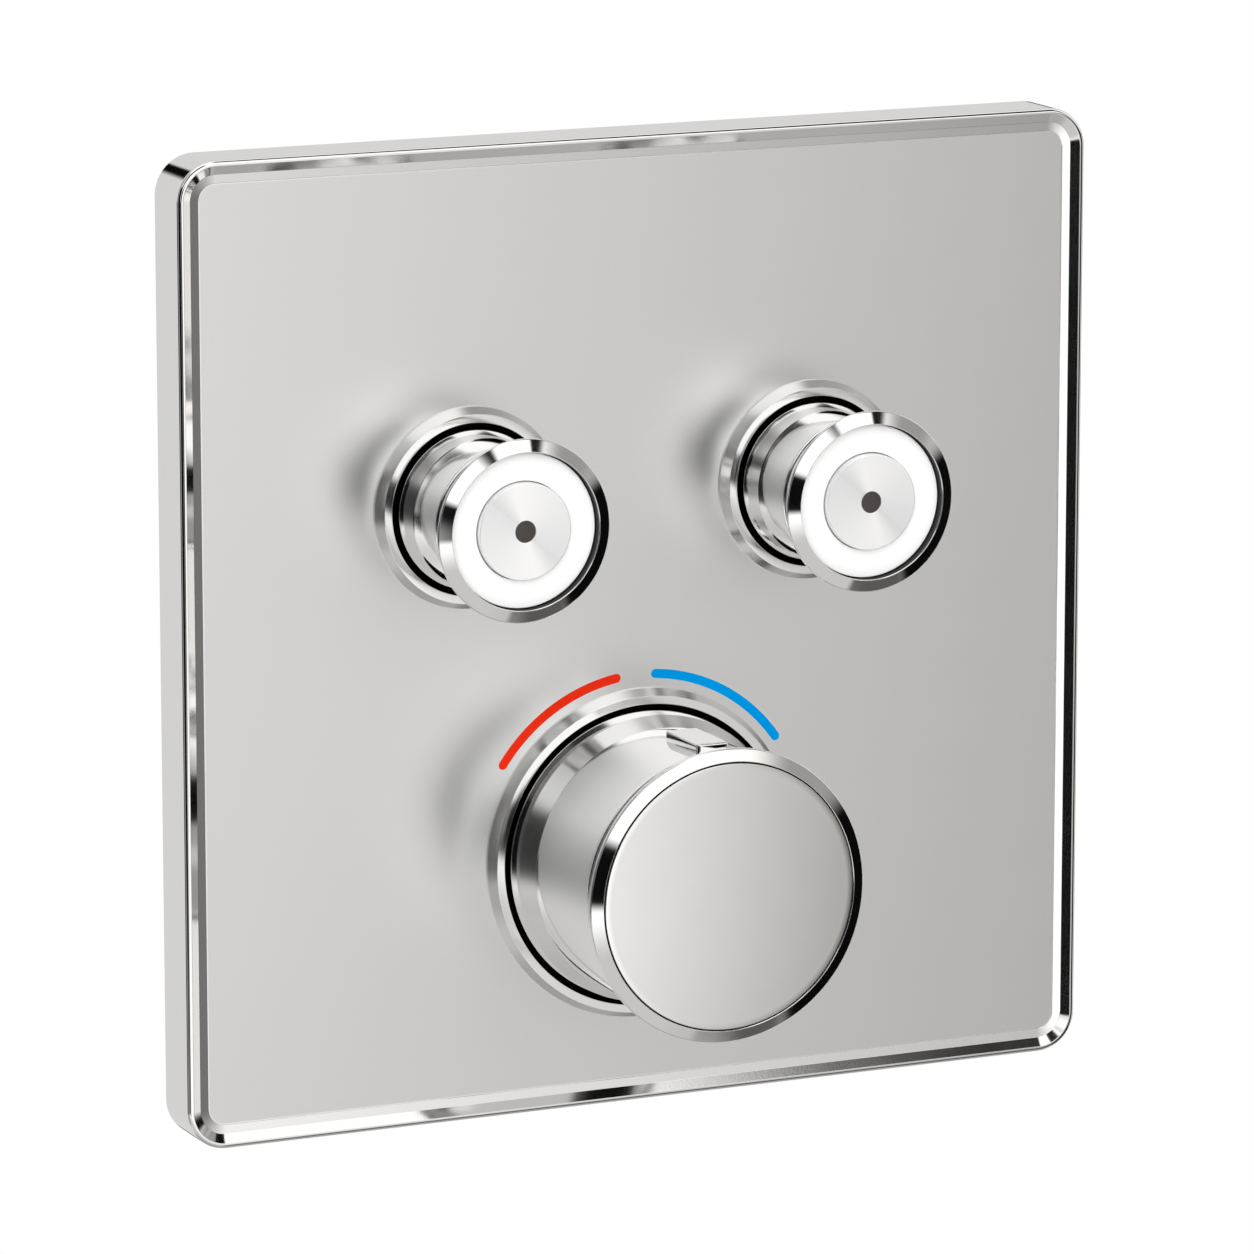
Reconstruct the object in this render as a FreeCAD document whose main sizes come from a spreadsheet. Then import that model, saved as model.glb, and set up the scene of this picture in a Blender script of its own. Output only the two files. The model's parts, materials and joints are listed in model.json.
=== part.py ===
"""Concealed thermostatic shower valve: wall plate, temperature knob, two push-and-turn buttons and
the valve unit behind them.

Frame: X to the right and Z up as seen from the room, Y into the wall. The finished wall is the plane
Y = 0, so the trim lies at negative Y and the valve unit at positive Y. The origin is the middle of the
wall plate's back. Lengths are millimetres.
"""
import FreeCAD, Part
import math
import os

import Sketcher

Vector = FreeCAD.Vector

# ---------------------------------------------------------------- driving dimensions
# Distances "from the wall" are measured from the finished wall: towards the room in the trim groups,
# into the wall in the valve groups. Radii are half diameters.
SIZES = {
    "Layout of the three controls": {
        "button_spread": 30.0,        # each button from the middle line
        "button_rise": 21.0,          # buttons above the origin
        "knob_drop": 38.0,            # temperature knob below the origin
    },
    "Wall plate": {
        "plate_side": 158.0,
        "plate_depth": 10.0,          # rim crest from the wall
        "plate_corner": 6.5,
        "panel_thickness": 2.0,
        "rim_wall": 2.0,
        "rim_crest": 0.9,             # flat top of the rim, before its inner slope
        "rim_slope": 1.4,             # width of the inner slope
        "rim_drop": 0.85,             # depth of the inner slope
        "rim_ledge": 1.4,             # flat step between the slope and the panel
        "panel_recess": 1.0,          # panel below the rim crest
        "edge_round": 0.55,
        "hole_clearance": 0.25,       # plate hole round a sleeve
    },
    "Gasket and carrier": {
        "gasket_width": 5.0,
        "gasket_gap": 0.1,
        "carrier_margin": 1.0,        # carrier edge inside the gasket
        "carrier_front": 4.0,
        "carrier_thickness": 3.0,
        "carrier_corner": 5.0,
        "carrier_opening": 1.3,       # opening round a sleeve
        "carrier_pad": 9.0,
        "post_radius": 4.5,
        "post_margin": 0.5,           # block beyond a post
        "post_rise_top": 2.0,
        "post_spread_low": 48.0,
        "post_drop_low": 52.0,
        "carrier_screw_head": 3.5,
        "carrier_screw_head_depth": 2.0,
        "carrier_screw_shank": 2.0,
        "carrier_screw_length": 13.0,
        "gasket_corner": 2.2,
    },
    "Sleeves": {
        "sleeve_rise": 2.0,           # front edge above the panel
        "sleeve_back": 10.0,          # rear end, behind the wall plane
        "sleeve_wall": 0.65,
        "sleeve_flange": 1.0,         # flange beyond the tube
        "sleeve_flange_edge": 0.35,
        "sleeve_seat_depth": 3.5,     # where the bore narrows onto the nut
        "sleeve_seat_width": 0.5,     # least width of that seat
        "knob_sleeve_gap": 1.2,       # between the sleeve and the knob's foot
        "push_sleeve_gap": 1.3,
        "sleeve_seal_width": 1.9,
        "sleeve_seal_depth": 2.0,
    },
    "Temperature knob": {
        "knob_entry": 0.5,            # how deep the foot stands in the sleeve
        "knob_rear_radius": 24.3,
        "knob_first_band": 3.4,       # length of the band next to the wall
        "knob_band_radius": 23.6,
        "knob_second_band": 3.5,
        "knob_neck_radius": 22.2,
        "knob_waist": 0.2,            # how far the neck draws in
        "knob_flare": 4.9,            # length of the flare before the rim
        "knob_flare_radius": 23.5,
        "knob_rim_chamfer": 0.3,
        "knob_rim_radius": 23.75,
        "knob_rim_width": 0.75,
        "knob_cone": 0.8,             # length of the front cone
        "knob_front": 42.75,          # from the wall
        "knob_mouth_radius": 21.7,
        "knob_inner_radius": 20.0,
        "knob_skirt_radius": 22.0,
        "knob_cap_proud": 0.25,       # cap in front of the cone
        "knob_cap_thickness": 2.1,
        "knob_cap_crown": 0.24,       # how far the cap's face is domed
        "knob_cap_chamfer": 0.1375,
        "knob_cap_gap": 0.2,
        "knob_web": 3.5,
        "knob_screw_head": 3.9,
        "knob_screw_head_depth": 2.0,
        "knob_screw_shank": 2.0,
        "knob_screw_length": 10.5,
        "adapter_wall": 1.2,
        "adapter_rear": 14.2,
        "adapter_hub_radius": 8.0,
        "adapter_hub_rear": 24.5,
        "adapter_floor": 2.0,
        "adapter_web": 3.0,
    },
    "Stop button": {
        "stop_overlap": 0.5,          # tab over the flare's start
        "stop_length": 12.0,
        "stop_width": 5.5,
        "stop_rise": 1.45,            # above the neck
        "stop_foot_drop": 0.6,        # foot below the shell's inside
        "stop_foot_thickness": 1.3,
        "stop_foot_overhang": 0.9,
        "stop_gap": 0.15,
        "stop_corner": 0.6,
        "stop_spring_radius": 1.6,
        "stop_spring_bore": 1.0,
        "stop_spring_well": 0.9,      # spring above the foot
    },
    "Push-and-turn button": {
        "collar_entry": 0.5,
        "collar_rear_radius": 13.3,
        "collar_first_band": 2.3,
        "collar_band_radius": 13.05,
        "collar_second_band": 2.2,
        "collar_neck_radius": 12.1,
        "collar_waist": 0.1,
        "collar_flare": 7.2,
        "collar_flare_radius": 14.3,
        "collar_rim_chamfer": 0.3,
        "collar_rim_radius": 14.6,
        "collar_rim_width": 0.45,
        "collar_cone": 0.85,
        "collar_front": 31.8,         # from the wall
        "collar_mouth_radius": 12.5,
        "collar_well": 2.8,           # depth of the well that holds the face
        "collar_web": 2.5,
        "collar_inner_radius": 10.2,
        "collar_skirt_radius": 11.4,
        "collar_hub_wall": 1.7,
        "collar_hub_rear": 12.0,
        "face_ring_thickness": 1.3,
        "face_ring_gap": 0.15,
        "disc_radius": 7.75,
        "disc_thickness": 2.5,
        "disc_gap": 0.12,
        "disc_dimple_radius": 1.75,
        "disc_dimple_depth": 0.4,
    },
    "Valve body": {
        "block_front": 18.0,
        "block_back": 58.0,
        "block_side_margin": 4.0,     # block beyond the nipples' flanges
        "block_chamfer": 9.0,
        "block_shoulder": 6.0,
        "block_top_margin": 1.0,      # block above the push bosses
        "boss_front": 12.0,
        "knob_boss_wall": 3.0,
        "push_boss_wall": 3.5,
        "seat_depth": 20.0,           # shoulder under the cartridge flanges
        "flange_thickness": 3.0,
        "knob_bore": 19.0,
        "knob_seat_width": 3.0,       # thread beyond the bore
        "knob_bore_end": 54.0,
        "push_bore": 11.5,
        "push_seat_width": 1.0,
        "push_bore_end": 46.0,
        "port_step": 50.0,            # floor of the nipple sockets
        "port_thread": 11.5,
        "port_bore": 7.5,
        "outlet_bore": 6.0,
        "inlet_spread": 37.0,
        "hot_gallery": 45.5,
        "cold_gallery": 37.5,
        "mixed_gallery": 27.0,
        "gallery_radius": 4.0,
        "riser_radius": 5.0,
        "plug_radius": 6.0,
        "plug_length": 4.0,
        "ear_half_width": 7.0,
        "ear_front": 50.0,
        "fixing_spread": 38.0,
        "fixing_hole": 2.75,
        "fixing_neck": 2.25,          # plain shank, as far as the thread
        "fixing_thread_gap": 1.0,     # thread's start behind the ear
        "fixing_shank": 2.5,
        "fixing_head": 4.5,
        "fixing_head_depth": 3.5,
        "fixing_length": 22.0,
        "thread_gap": 0.1,
    },
    "Nipples, check valves and strainers": {
        "nipple_flange_lip": 1.5,     # flange beyond the thread
        "nipple_flange": 4.0,
        "nipple_spigot_radius": 10.5,
        "nipple_end": 78.0,
        "nipple_shelf_width": 1.2,    # step between the front and the rear bore
        "nipple_wall": 2.9,           # round the rear bore
        "nipple_shelf": 64.0,         # from the wall
        "nipple_groove_front": 68.6,  # from the wall
        "nipple_groove_width": 2.6,
        "nipple_groove_depth": 1.5,
        "nipple_seal_proud": 0.15,    # how far a ring stands out of the spigot
        "cage_wall": 0.9,
        "cage_length": 12.0,
        "cage_floor": 1.5,
        "poppet_flow_gap": 0.7,       # between the poppet and its cage
        "poppet_overlap": 1.4,        # poppet on its seat
        "poppet_thickness": 2.0,
        "poppet_stem": 2.1,
        "poppet_tail": 1.0,           # stem beyond the cage's floor
        "poppet_spring_bore": 2.6,
        "poppet_spring_radius": 4.0,
        "strainer_thickness": 1.2,
        "strainer_hole": 1.2,
        "strainer_holes": 6,
    },
    "Thermostatic cartridge": {
        "cartridge_nose_front": 22.0,
        "cartridge_nose_radius": 11.0,
        "cartridge_shoulder_front": 2.0,
        "cartridge_shoulder_wall": 2.5,
        "cartridge_wall": 4.4,        # between the bore and the chamber
        "cartridge_front_wall": 2.0,
        "cartridge_end_wall": 3.0,
        "groove_width": 2.4,
        "groove_depth": 1.5,
        "port_recess": 1.2,           # water ring round each row of windows
        "port_recess_margin": 0.4,
        "window_width": 9.0,
        "window_depth": 3.6,
        "outlet_window_depth": 5.0,
        "hot_opening": 1.4,           # uncovered part of a window, knob at its mark
        "cold_opening": 0.9,
        "nut_front": 4.0,
        "nut_head_gap": 0.3,
        "knob_nut_lip": 2.8,          # nut head beyond its thread
        "push_nut_lip": 1.5,
        "running_gap": 0.1,
        "spindle_radius": 6.0,
        "spindle_nose": 4.5,
        "spindle_flange_radius": 9.0,
        "spindle_flange": 2.5,
        "spindle_thread": 4.9,
        "spindle_end": 21.0,
        "regulator_radius": 12.0,
        "regulator_front": 12.0,
        "regulator_floor": 24.0,
        "regulator_end": 32.0,
        "regulator_cup": 10.2,
        "overtravel_bore": 7.0,
        "overtravel_length": 5.4,
        "plunger_radius": 9.9,
        "plunger_thickness": 2.0,
        "wax_pin": 2.0,
        "wax_pin_length": 3.0,
        "wax_radius": 6.0,
        "wax_end": 46.0,
        "shuttle_wall": 1.4,
        "shuttle_web_front": 40.0,
        "shuttle_web": 2.0,
        "shuttle_hole": 2.2,
        "shuttle_holes": 6,
        "return_spring_bore": 7.5,
        "return_spring_wall": 1.5,
    },
    "Stop ring": {
        "stop_ring_front": 20.0,
        "stop_ring_rear": 12.0,
        "stop_ring_wall": 2.0,        # beyond the cartridge's nose
        "stop_lug_height": 2.0,
        "stop_lug_gap": 0.2,
        "stop_lug_rear": 15.0,
        "stop_lug_angle": 44.0,       # degrees, each lug
        "moving_lug_start": 227.0,    # degrees about +Y from +X
        "fixed_lug_start": 112.0,
    },
    "Push cartridges": {
        "push_nose_front": 8.0,
        "push_nose_radius": 9.6,
        "push_nose_bore": 6.9,
        "push_cartridge_wall": 2.2,
        "push_chamber_front": 18.0,
        "push_seat_front": 30.0,
        "push_seat": 2.0,
        "push_seat_bore": 6.0,
        "push_end_wall": 2.0,
        "push_outlet": 5.0,
        "push_window_width": 9.0,
        "push_window_depth": 4.0,
        "push_port_recess": 1.2,
        "throttle_front": 20.5,
        "throttle_drum_wall": 1.7,
        "throttle_web": 2.0,
        "stem_radius": 3.0,
        "stem_pin_radius": 2.8,
        "stem_pin_cover": 1.0,        # collar in front of the pin
        "stem_collar_radius": 6.0,
        "stem_collar": 2.1,
        "piston_radius": 7.6,
        "piston_thickness": 3.4,
        "push_spring_bore": 4.9,
        "push_spring_wall": 1.2,
    },
}

doc = FreeCAD.newDocument("ShowerValve")
sheet = doc.addObject("Spreadsheet::Sheet", "Sizes")


class Size:
    """A length together with the sheet expression that it comes from."""

    def __init__(self, value, text):
        self.value = float(value)
        self.text = text

    def _with(self, other, sign, swap=False):
        other = size(other)
        a, b = (other, self) if swap else (self, other)
        value = {"+": a.value + b.value, "-": a.value - b.value, "*": a.value * b.value}.get(sign)
        if value is None:
            value = a.value / b.value
        return Size(value, "(%s %s %s)" % (a.text, sign, b.text))

    def __add__(self, other):
        return self._with(other, "+")

    def __radd__(self, other):
        return self._with(other, "+", True)

    def __sub__(self, other):
        return self._with(other, "-")

    def __rsub__(self, other):
        return self._with(other, "-", True)

    def __mul__(self, other):
        return self._with(other, "*")

    def __rmul__(self, other):
        return self._with(other, "*", True)

    def __truediv__(self, other):
        return self._with(other, "/")

    def __neg__(self):
        return Size(-self.value, "(-1 * %s)" % self.text)


def size(number):
    """Any plain number as a Size."""
    return number if isinstance(number, Size) else Size(number, "(%r)" % float(number))


class Values:
    """Sizes by name: the sheet's own, such as S.plate_side, and those that follow from them."""


S = Values()
row = 0
for group, values in SIZES.items():
    row += 1
    sheet.set("A%d" % row, group)
    for name, value in values.items():
        row += 1
        sheet.set("A%d" % row, name)
        sheet.set("B%d" % row, str(value))
        sheet.setAlias("B%d" % row, name)
        setattr(S, name, Size(value, "Sizes." + name))
doc.recompute()


def larger(a, b):
    return Size(max(a.value, b.value), "max(%s; %s)" % (a.text, b.text))


# Places and sizes that follow from the driving ones. Places are distances from the wall, and names in
# small letters are read by kind, such as knob_rim_front and collar_rim_front.
PANEL_FRONT = S.plate_depth - S.panel_recess
PANEL_BACK = PANEL_FRONT - S.panel_thickness
CARRIER_BACK = S.carrier_front - S.carrier_thickness

S.knob_thread = S.knob_bore + S.knob_seat_width
S.push_thread = S.push_bore + S.push_seat_width
S.knob_boss_radius = S.knob_thread + S.knob_boss_wall
S.push_boss_radius = S.push_thread + S.push_boss_wall
S.knob_nut_head = S.knob_thread + S.knob_nut_lip
S.push_nut_head = S.push_thread + S.push_nut_lip
S.cartridge_chamber = S.knob_bore - S.running_gap - S.cartridge_wall
S.cartridge_shoulder_radius = S.cartridge_chamber + S.cartridge_shoulder_wall
S.push_chamber = S.push_bore - S.running_gap - S.push_cartridge_wall

NUT_COVER = S.thread_gap + S.sleeve_seat_width
S.knob_sleeve_bore = larger(S.knob_nut_head + NUT_COVER, S.knob_rear_radius + S.knob_sleeve_gap)
S.push_sleeve_bore = larger(S.push_nut_head + NUT_COVER, S.collar_rear_radius + S.push_sleeve_gap)
S.sleeve_front = PANEL_FRONT + S.sleeve_rise

for kind in ("knob", "collar"):
    v = {name[len(kind) + 1:]: getattr(S, name) for name in list(vars(S)) if name.startswith(kind + "_")}
    rear = S.sleeve_front - v["entry"]
    rim_front = v["front"] - v["cone"]
    rim_rear = rim_front - v["rim_width"]
    flare_front = rim_rear - v["rim_chamfer"]
    places = {
        "rear": rear,
        "band_front": rear + v["first_band"],
        "neck_rear": rear + v["first_band"] + v["second_band"],
        "neck_front": flare_front - v["flare"],
        "flare_front": flare_front,
        "rim_rear": rim_rear,
        "rim_front": rim_front,
    }
    for name, place in places.items():
        setattr(S, "%s_%s" % (kind, name), place)

S.knob_cap_front = S.knob_front + S.knob_cap_proud
S.knob_cap_seat = S.knob_cap_front - S.knob_cap_thickness
S.knob_web_rear = S.knob_cap_seat - S.knob_web
S.spindle_nose_front = S.knob_web_rear - S.adapter_floor - 2 * S.running_gap
S.collar_well_floor = S.collar_front - S.collar_well
S.face_ring_front = S.collar_well_floor + S.face_ring_thickness
S.disc_front = S.collar_well_floor + S.disc_thickness
S.stem_pin_front = S.collar_well_floor - S.stem_pin_cover

S.stop_ring_radius = S.cartridge_nose_radius + S.stop_ring_wall
S.stop_lug_radius = S.stop_ring_radius + S.stop_lug_height
S.adapter_bore = S.stop_lug_radius + S.stop_lug_gap
S.adapter_radius = S.adapter_bore + S.adapter_wall
S.stop_front = S.knob_neck_front + S.stop_overlap
S.stop_top = S.knob_neck_radius + S.stop_rise
S.stop_foot_top = S.knob_inner_radius - S.stop_foot_drop
S.stop_foot_bottom = S.stop_foot_top - S.stop_foot_thickness
S.stop_spring_top = S.stop_foot_top + S.stop_spring_well

S.nipple_flange_radius = S.port_thread + S.nipple_flange_lip
S.nipple_rear_bore = S.nipple_spigot_radius - S.nipple_wall
S.nipple_front_bore = S.nipple_rear_bore - S.nipple_shelf_width
S.poppet_radius = S.nipple_rear_bore - S.running_gap - S.cage_wall - S.poppet_flow_gap
S.cage_seat = S.poppet_radius - S.poppet_overlap

S.block_half_width = S.inlet_spread + S.nipple_flange_radius + S.block_side_margin
S.block_top_half_width = S.button_spread + S.push_boss_radius
S.block_top = S.button_rise + S.push_boss_radius + S.block_top_margin
S.block_low = S.knob_drop + S.knob_boss_radius
S.post_spread_top = S.block_half_width - S.post_radius - S.post_margin
S.fixing_rise = S.block_top + S.ear_half_width
S.fixing_drop = S.block_low + S.ear_half_width

KNOB_AXIS = (size(0), -S.knob_drop)
LEFT_AXIS = (-S.button_spread, S.button_rise)
RIGHT_AXIS = (S.button_spread, S.button_rise)
HOT_AXIS = (-S.inlet_spread, -S.knob_drop)
COLD_AXIS = (S.inlet_spread, -S.knob_drop)
BUTTONS = (("left", LEFT_AXIS), ("right", RIGHT_AXIS))


# ---------------------------------------------------------------- drawing helpers
NODES = []


def keep(node):
    """Mark an object as one of the finished pieces."""
    NODES.append(node)
    return node


def bind(thing, path, length):
    """Tie a property to the sheet."""
    thing.setExpression(path, size(length).text)


def new_body(label, axis=(0, 0)):
    """An empty body whose own Y axis runs through the given X and Z."""
    body = doc.addObject("PartDesign::Body", label)
    body.Label = label
    bind(body, "Placement.Base.x", axis[0])
    bind(body, "Placement.Base.z", axis[1])
    return body


def new_sketch(body, name, plane, lift=None):
    """A sketch on one of the body's own origin planes, lifted along that plane's normal."""
    sketch = body.newObject("Sketcher::SketchObject", name)
    support = [f for f in body.Origin.OriginFeatures if f.Role == plane][0]
    sketch.AttachmentSupport = [(support, "")]
    sketch.MapMode = "FlatFace"
    if lift is not None:
        sketch.AttachmentOffset = FreeCAD.Placement(Vector(0, 0, size(lift).value), FreeCAD.Rotation())
        bind(sketch, "AttachmentOffset.Base.z", lift)
    return sketch


def fix(sketch, kind, *where_and_length):
    """One dimension of a sketch, tied to the sheet."""
    where, length = where_and_length[:-1], size(where_and_length[-1])
    index = sketch.addConstraint(Sketcher.Constraint(kind, *where, length.value))
    bind(sketch, "Constraints[%d]" % index, length)


def fix_point(sketch, geometry, vertex, x, y):
    """Hold a point of a sketch at x, y from the sketch's origin."""
    for kind, axis, length in (("DistanceX", -2, size(x)), ("DistanceY", -1, size(y))):
        if length.value == 0:
            sketch.addConstraint(Sketcher.Constraint("PointOnObject", geometry, vertex, axis))
        else:
            fix(sketch, kind, -1, 1, geometry, vertex, length)


def arc_through(start, end, radius):
    """Middle point of the short arc from start to end, with its centre to the left of the way."""
    chord = end - start
    left = Vector(-chord.y, chord.x, 0)
    left.normalize()
    half = chord.Length / 2
    sagitta = radius - math.sqrt(radius * radius - half * half)
    return (start + end) * 0.5 - left * sagitta


def outline(sketch, points):
    """Closed outline. A point is (x, y), or (x, y, radius) where an arc leads to it: a positive
    radius has the arc's centre on the left of the way, a negative one on the right."""
    count = len(points)
    first = len(sketch.Geometry)
    spots = [Vector(size(p[0]).value, size(p[1]).value, 0) for p in points]
    ends = []
    for i in range(count):
        j = (i + 1) % count
        a, b = spots[i], spots[j]
        if len(points[j]) == 2:
            sketch.addGeometry(Part.LineSegment(a, b), False)
            ends.append((1, 2))
            continue
        radius = size(points[j][2]).value
        if radius > 0:
            middle = arc_through(a, b, radius)
        else:
            middle = arc_through(b, a, -radius)
        index = sketch.addGeometry(Part.Arc(a, middle, b), False)
        starts_at_a = (sketch.Geometry[index].StartPoint - a).Length < 1e-6
        ends.append((1, 2) if starts_at_a else (2, 1))
    for i in range(count):
        j = (i + 1) % count
        sketch.addConstraint(
            Sketcher.Constraint("Coincident", first + i, ends[i][1], first + j, ends[j][0])
        )
        fix_point(sketch, first + i, ends[i][0], points[i][0], points[i][1])
        if len(points[j]) == 3:
            radius = size(points[j][2])
            fix(sketch, "Radius", first + i, radius if radius.value > 0 else -radius)
    return sketch


def circle(sketch, x, y, radius):
    """A circle in a sketch, centre and radius tied to the sheet."""
    spot = Vector(size(x).value, size(y).value, 0)
    index = sketch.addGeometry(Part.Circle(spot, Vector(0, 0, 1), size(radius).value), False)
    fix_point(sketch, index, 3, x, y)
    fix(sketch, "Radius", index, radius)
    return sketch


def rectangle_points(x0, x1, z0, z1):
    return [(x0, z0), (x1, z0), (x1, z1), (x0, z1)]


def rounded_square(sketch, half, corner):
    """Square with rounded corners about the sketch's origin."""
    flat = half - corner
    return outline(sketch, [
        (-flat, -half, corner), (flat, -half), (half, -flat, corner), (half, flat),
        (flat, half, corner), (-flat, half), (-half, flat, corner), (-half, -flat),
    ])


def turned(label, points, axis=(0, 0)):
    """A body of revolution about its own Y axis, from (radius, y) points."""
    body = new_body(label, axis)
    add_turned(body, label + "_turn", points)
    return body


def add_turned(body, name, points, kind="Revolution", angle=360):
    sketch = outline(new_sketch(body, name + "_profile", "XY_Plane"), points)
    feature = body.newObject("PartDesign::" + kind, name)
    feature.Profile = sketch
    feature.ReferenceAxis = (sketch, ["V_Axis"])
    feature.Angle = angle
    sketch.Visibility = False
    return feature


def pad(body, name, draw, rear, front):
    """Material between the planes Y = rear and Y = front, where front is nearer the room."""
    sketch = new_sketch(body, name + "_sketch", "XZ_Plane", -size(rear))
    draw(sketch)
    feature = body.newObject("PartDesign::Pad", name)
    feature.Profile = sketch
    bind(feature, "Length", size(rear) - front)
    return feature


def pocket(body, name, draw, front, rear, taper=None):
    """A cut from the plane Y = front back to Y = rear."""
    sketch = new_sketch(body, name + "_sketch", "XZ_Plane", -size(front))
    draw(sketch)
    feature = body.newObject("PartDesign::Pocket", name)
    feature.Profile = sketch
    bind(feature, "Length", size(rear) - front)
    if taper is not None:
        bind(feature, "TaperAngle", taper)
    return feature


def slot_across(body, name, width, height, middle):
    """A rectangular slot right through a body along Z, centred on its own Y axis."""
    sketch = outline(new_sketch(body, name + "_sketch", "XY_Plane"), rectangle_points(
        -width / 2, width / 2, middle - height / 2, middle + height / 2))
    feature = body.newObject("PartDesign::Pocket", name)
    feature.Profile = sketch
    feature.Type = 1
    feature.Midplane = True
    return feature


def around(body, feature, count, angle=360):
    """Repeat a feature about the body's own Y axis."""
    axis = [f for f in body.Origin.OriginFeatures if f.Role == "Y_Axis"][0]
    pattern = body.newObject("PartDesign::PolarPattern", feature.Name + "_pattern")
    pattern.Originals = [feature]
    pattern.Axis = (axis, [""])
    pattern.Angle = angle
    pattern.Occurrences = count
    body.Tip = pattern
    return pattern


def group(label, members):
    """Several like pieces under one name."""
    compound = doc.addObject("Part::Compound", label)
    compound.Label = label
    compound.Links = members
    return keep(compound)


def tube_points(bore, radius, front, rear):
    """Profile of a plain ring between two radii and two planes."""
    return [(bore, front), (radius, front), (radius, rear), (bore, rear)]


# ---------------------------------------------------------------- wall plate, gasket, carrier
def make_faceplate():
    half = S.plate_side / 2
    body = new_body("faceplate")
    pad(body, "plate_blank", lambda s: rounded_square(s, half, S.plate_corner),
        0, -S.plate_depth)
    slope_half = half - S.rim_crest
    slope_corner = S.plate_corner - S.rim_crest
    ledge = -S.plate_depth + S.rim_drop
    slope_angle = Size(
        math.degrees(math.atan2(S.rim_slope.value, S.rim_drop.value)),
        "atan2(%s; %s)" % (S.rim_slope.text, S.rim_drop.text),
    )
    pocket(body, "rim_slope", lambda s: rounded_square(s, slope_half, slope_corner),
           -S.plate_depth, ledge, taper=-slope_angle)
    panel_half = slope_half - S.rim_slope - S.rim_ledge
    panel_corner = slope_corner - S.rim_slope - S.rim_ledge
    pocket(body, "panel", lambda s: rounded_square(s, panel_half, panel_corner),
           ledge, -PANEL_FRONT)
    hollow_half = half - S.rim_wall
    hollow_corner = S.plate_corner - S.rim_wall
    hollow_sketch = rounded_square(
        new_sketch(body, "hollow_sketch", "XZ_Plane"), hollow_half, hollow_corner)
    hollow = body.newObject("PartDesign::Pocket", "hollow")
    hollow.Profile = hollow_sketch
    hollow.Reversed = True
    bind(hollow, "Length", PANEL_BACK)

    def holes(sketch):
        for (x, z), bore in ((KNOB_AXIS, S.knob_sleeve_bore), (LEFT_AXIS, S.push_sleeve_bore),
                             (RIGHT_AXIS, S.push_sleeve_bore)):
            circle(sketch, x, z, bore + S.sleeve_wall + S.hole_clearance)

    control_holes = pocket(body, "control_holes", holes, -PANEL_FRONT, -PANEL_BACK)
    doc.recompute()
    crest = [
        "Edge%d" % (i + 1)
        for i, edge in enumerate(body.Shape.Edges)
        if edge.BoundBox.YMax - edge.BoundBox.YMin < 1e-6
        and abs(edge.BoundBox.YMin + S.plate_depth.value) < 1e-6
        and max(abs(edge.BoundBox.XMin), abs(edge.BoundBox.XMax), abs(edge.BoundBox.ZMin),
                abs(edge.BoundBox.ZMax)) > half.value - 1e-6
    ]
    edge_round = body.newObject("PartDesign::Fillet", "edge_round")
    edge_round.Base = (control_holes, crest)
    bind(edge_round, "Radius", S.edge_round)
    body.Tip = edge_round
    return keep(body)


def make_gasket():
    outer = S.plate_side / 2 - S.rim_wall - S.gasket_gap
    inner = outer - S.gasket_width
    corner = S.plate_corner - S.rim_wall - S.gasket_gap
    body = new_body("wall_seal")
    pad(body, "gasket", lambda s: rounded_square(s, outer, corner), 0, -PANEL_BACK)
    pocket(body, "gasket_window", lambda s: rounded_square(s, inner, S.gasket_corner),
           -PANEL_BACK, 0)
    return keep(body)


def carrier_posts():
    """X and Z of the four posts that carry the carrier plate."""
    return [
        (-S.post_spread_top, S.post_rise_top),
        (S.post_spread_top, S.post_rise_top),
        (-S.post_spread_low, -S.post_drop_low),
        (S.post_spread_low, -S.post_drop_low),
    ]


def make_carrier():
    half = S.plate_side / 2 - S.rim_wall - S.gasket_gap - S.gasket_width - S.carrier_margin
    body = new_body("carrier_plate")
    pad(body, "carrier_blank", lambda s: rounded_square(s, half, S.carrier_corner),
        -CARRIER_BACK, -S.carrier_front)

    def pads(sketch):
        for side_x in (-1, 1):
            for side_z in (-1, 1):
                x0, z0 = side_x * (half - S.carrier_corner), side_z * (half - S.carrier_corner)
                x1, z1 = x0 - side_x * S.carrier_pad, z0 - side_z * S.carrier_pad
                corners = rectangle_points(x0, x1, z0, z1)
                outline(sketch, corners)

    pad(body, "carrier_pads", pads, -S.carrier_front, -PANEL_BACK)

    def openings(sketch):
        for (x, z), bore in ((KNOB_AXIS, S.knob_sleeve_bore), (LEFT_AXIS, S.push_sleeve_bore),
                             (RIGHT_AXIS, S.push_sleeve_bore)):
            circle(sketch, x, z, bore + S.sleeve_wall + S.carrier_opening)
        for x, z in carrier_posts():
            circle(sketch, x, z, S.carrier_screw_shank + S.hole_clearance)

    pocket(body, "carrier_openings", openings, -S.carrier_front, -CARRIER_BACK)
    return keep(body)


def screw(label, axis, head, head_depth, shank, length, seat):
    """A screw whose head rests on the plane Y = seat and whose shank points into the wall."""
    points = [(0, seat - head_depth), (head, seat - head_depth), (head, seat), (shank, seat),
              (shank, seat + length), (0, seat + length)]
    return turned(label, points, axis)


def make_carrier_screws():
    group("carrier_screws", [
        screw("carrier_screw_%d" % (i + 1), post, S.carrier_screw_head, S.carrier_screw_head_depth,
              S.carrier_screw_shank, S.carrier_screw_length, -S.carrier_front)
        for i, post in enumerate(carrier_posts())
    ])


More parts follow.
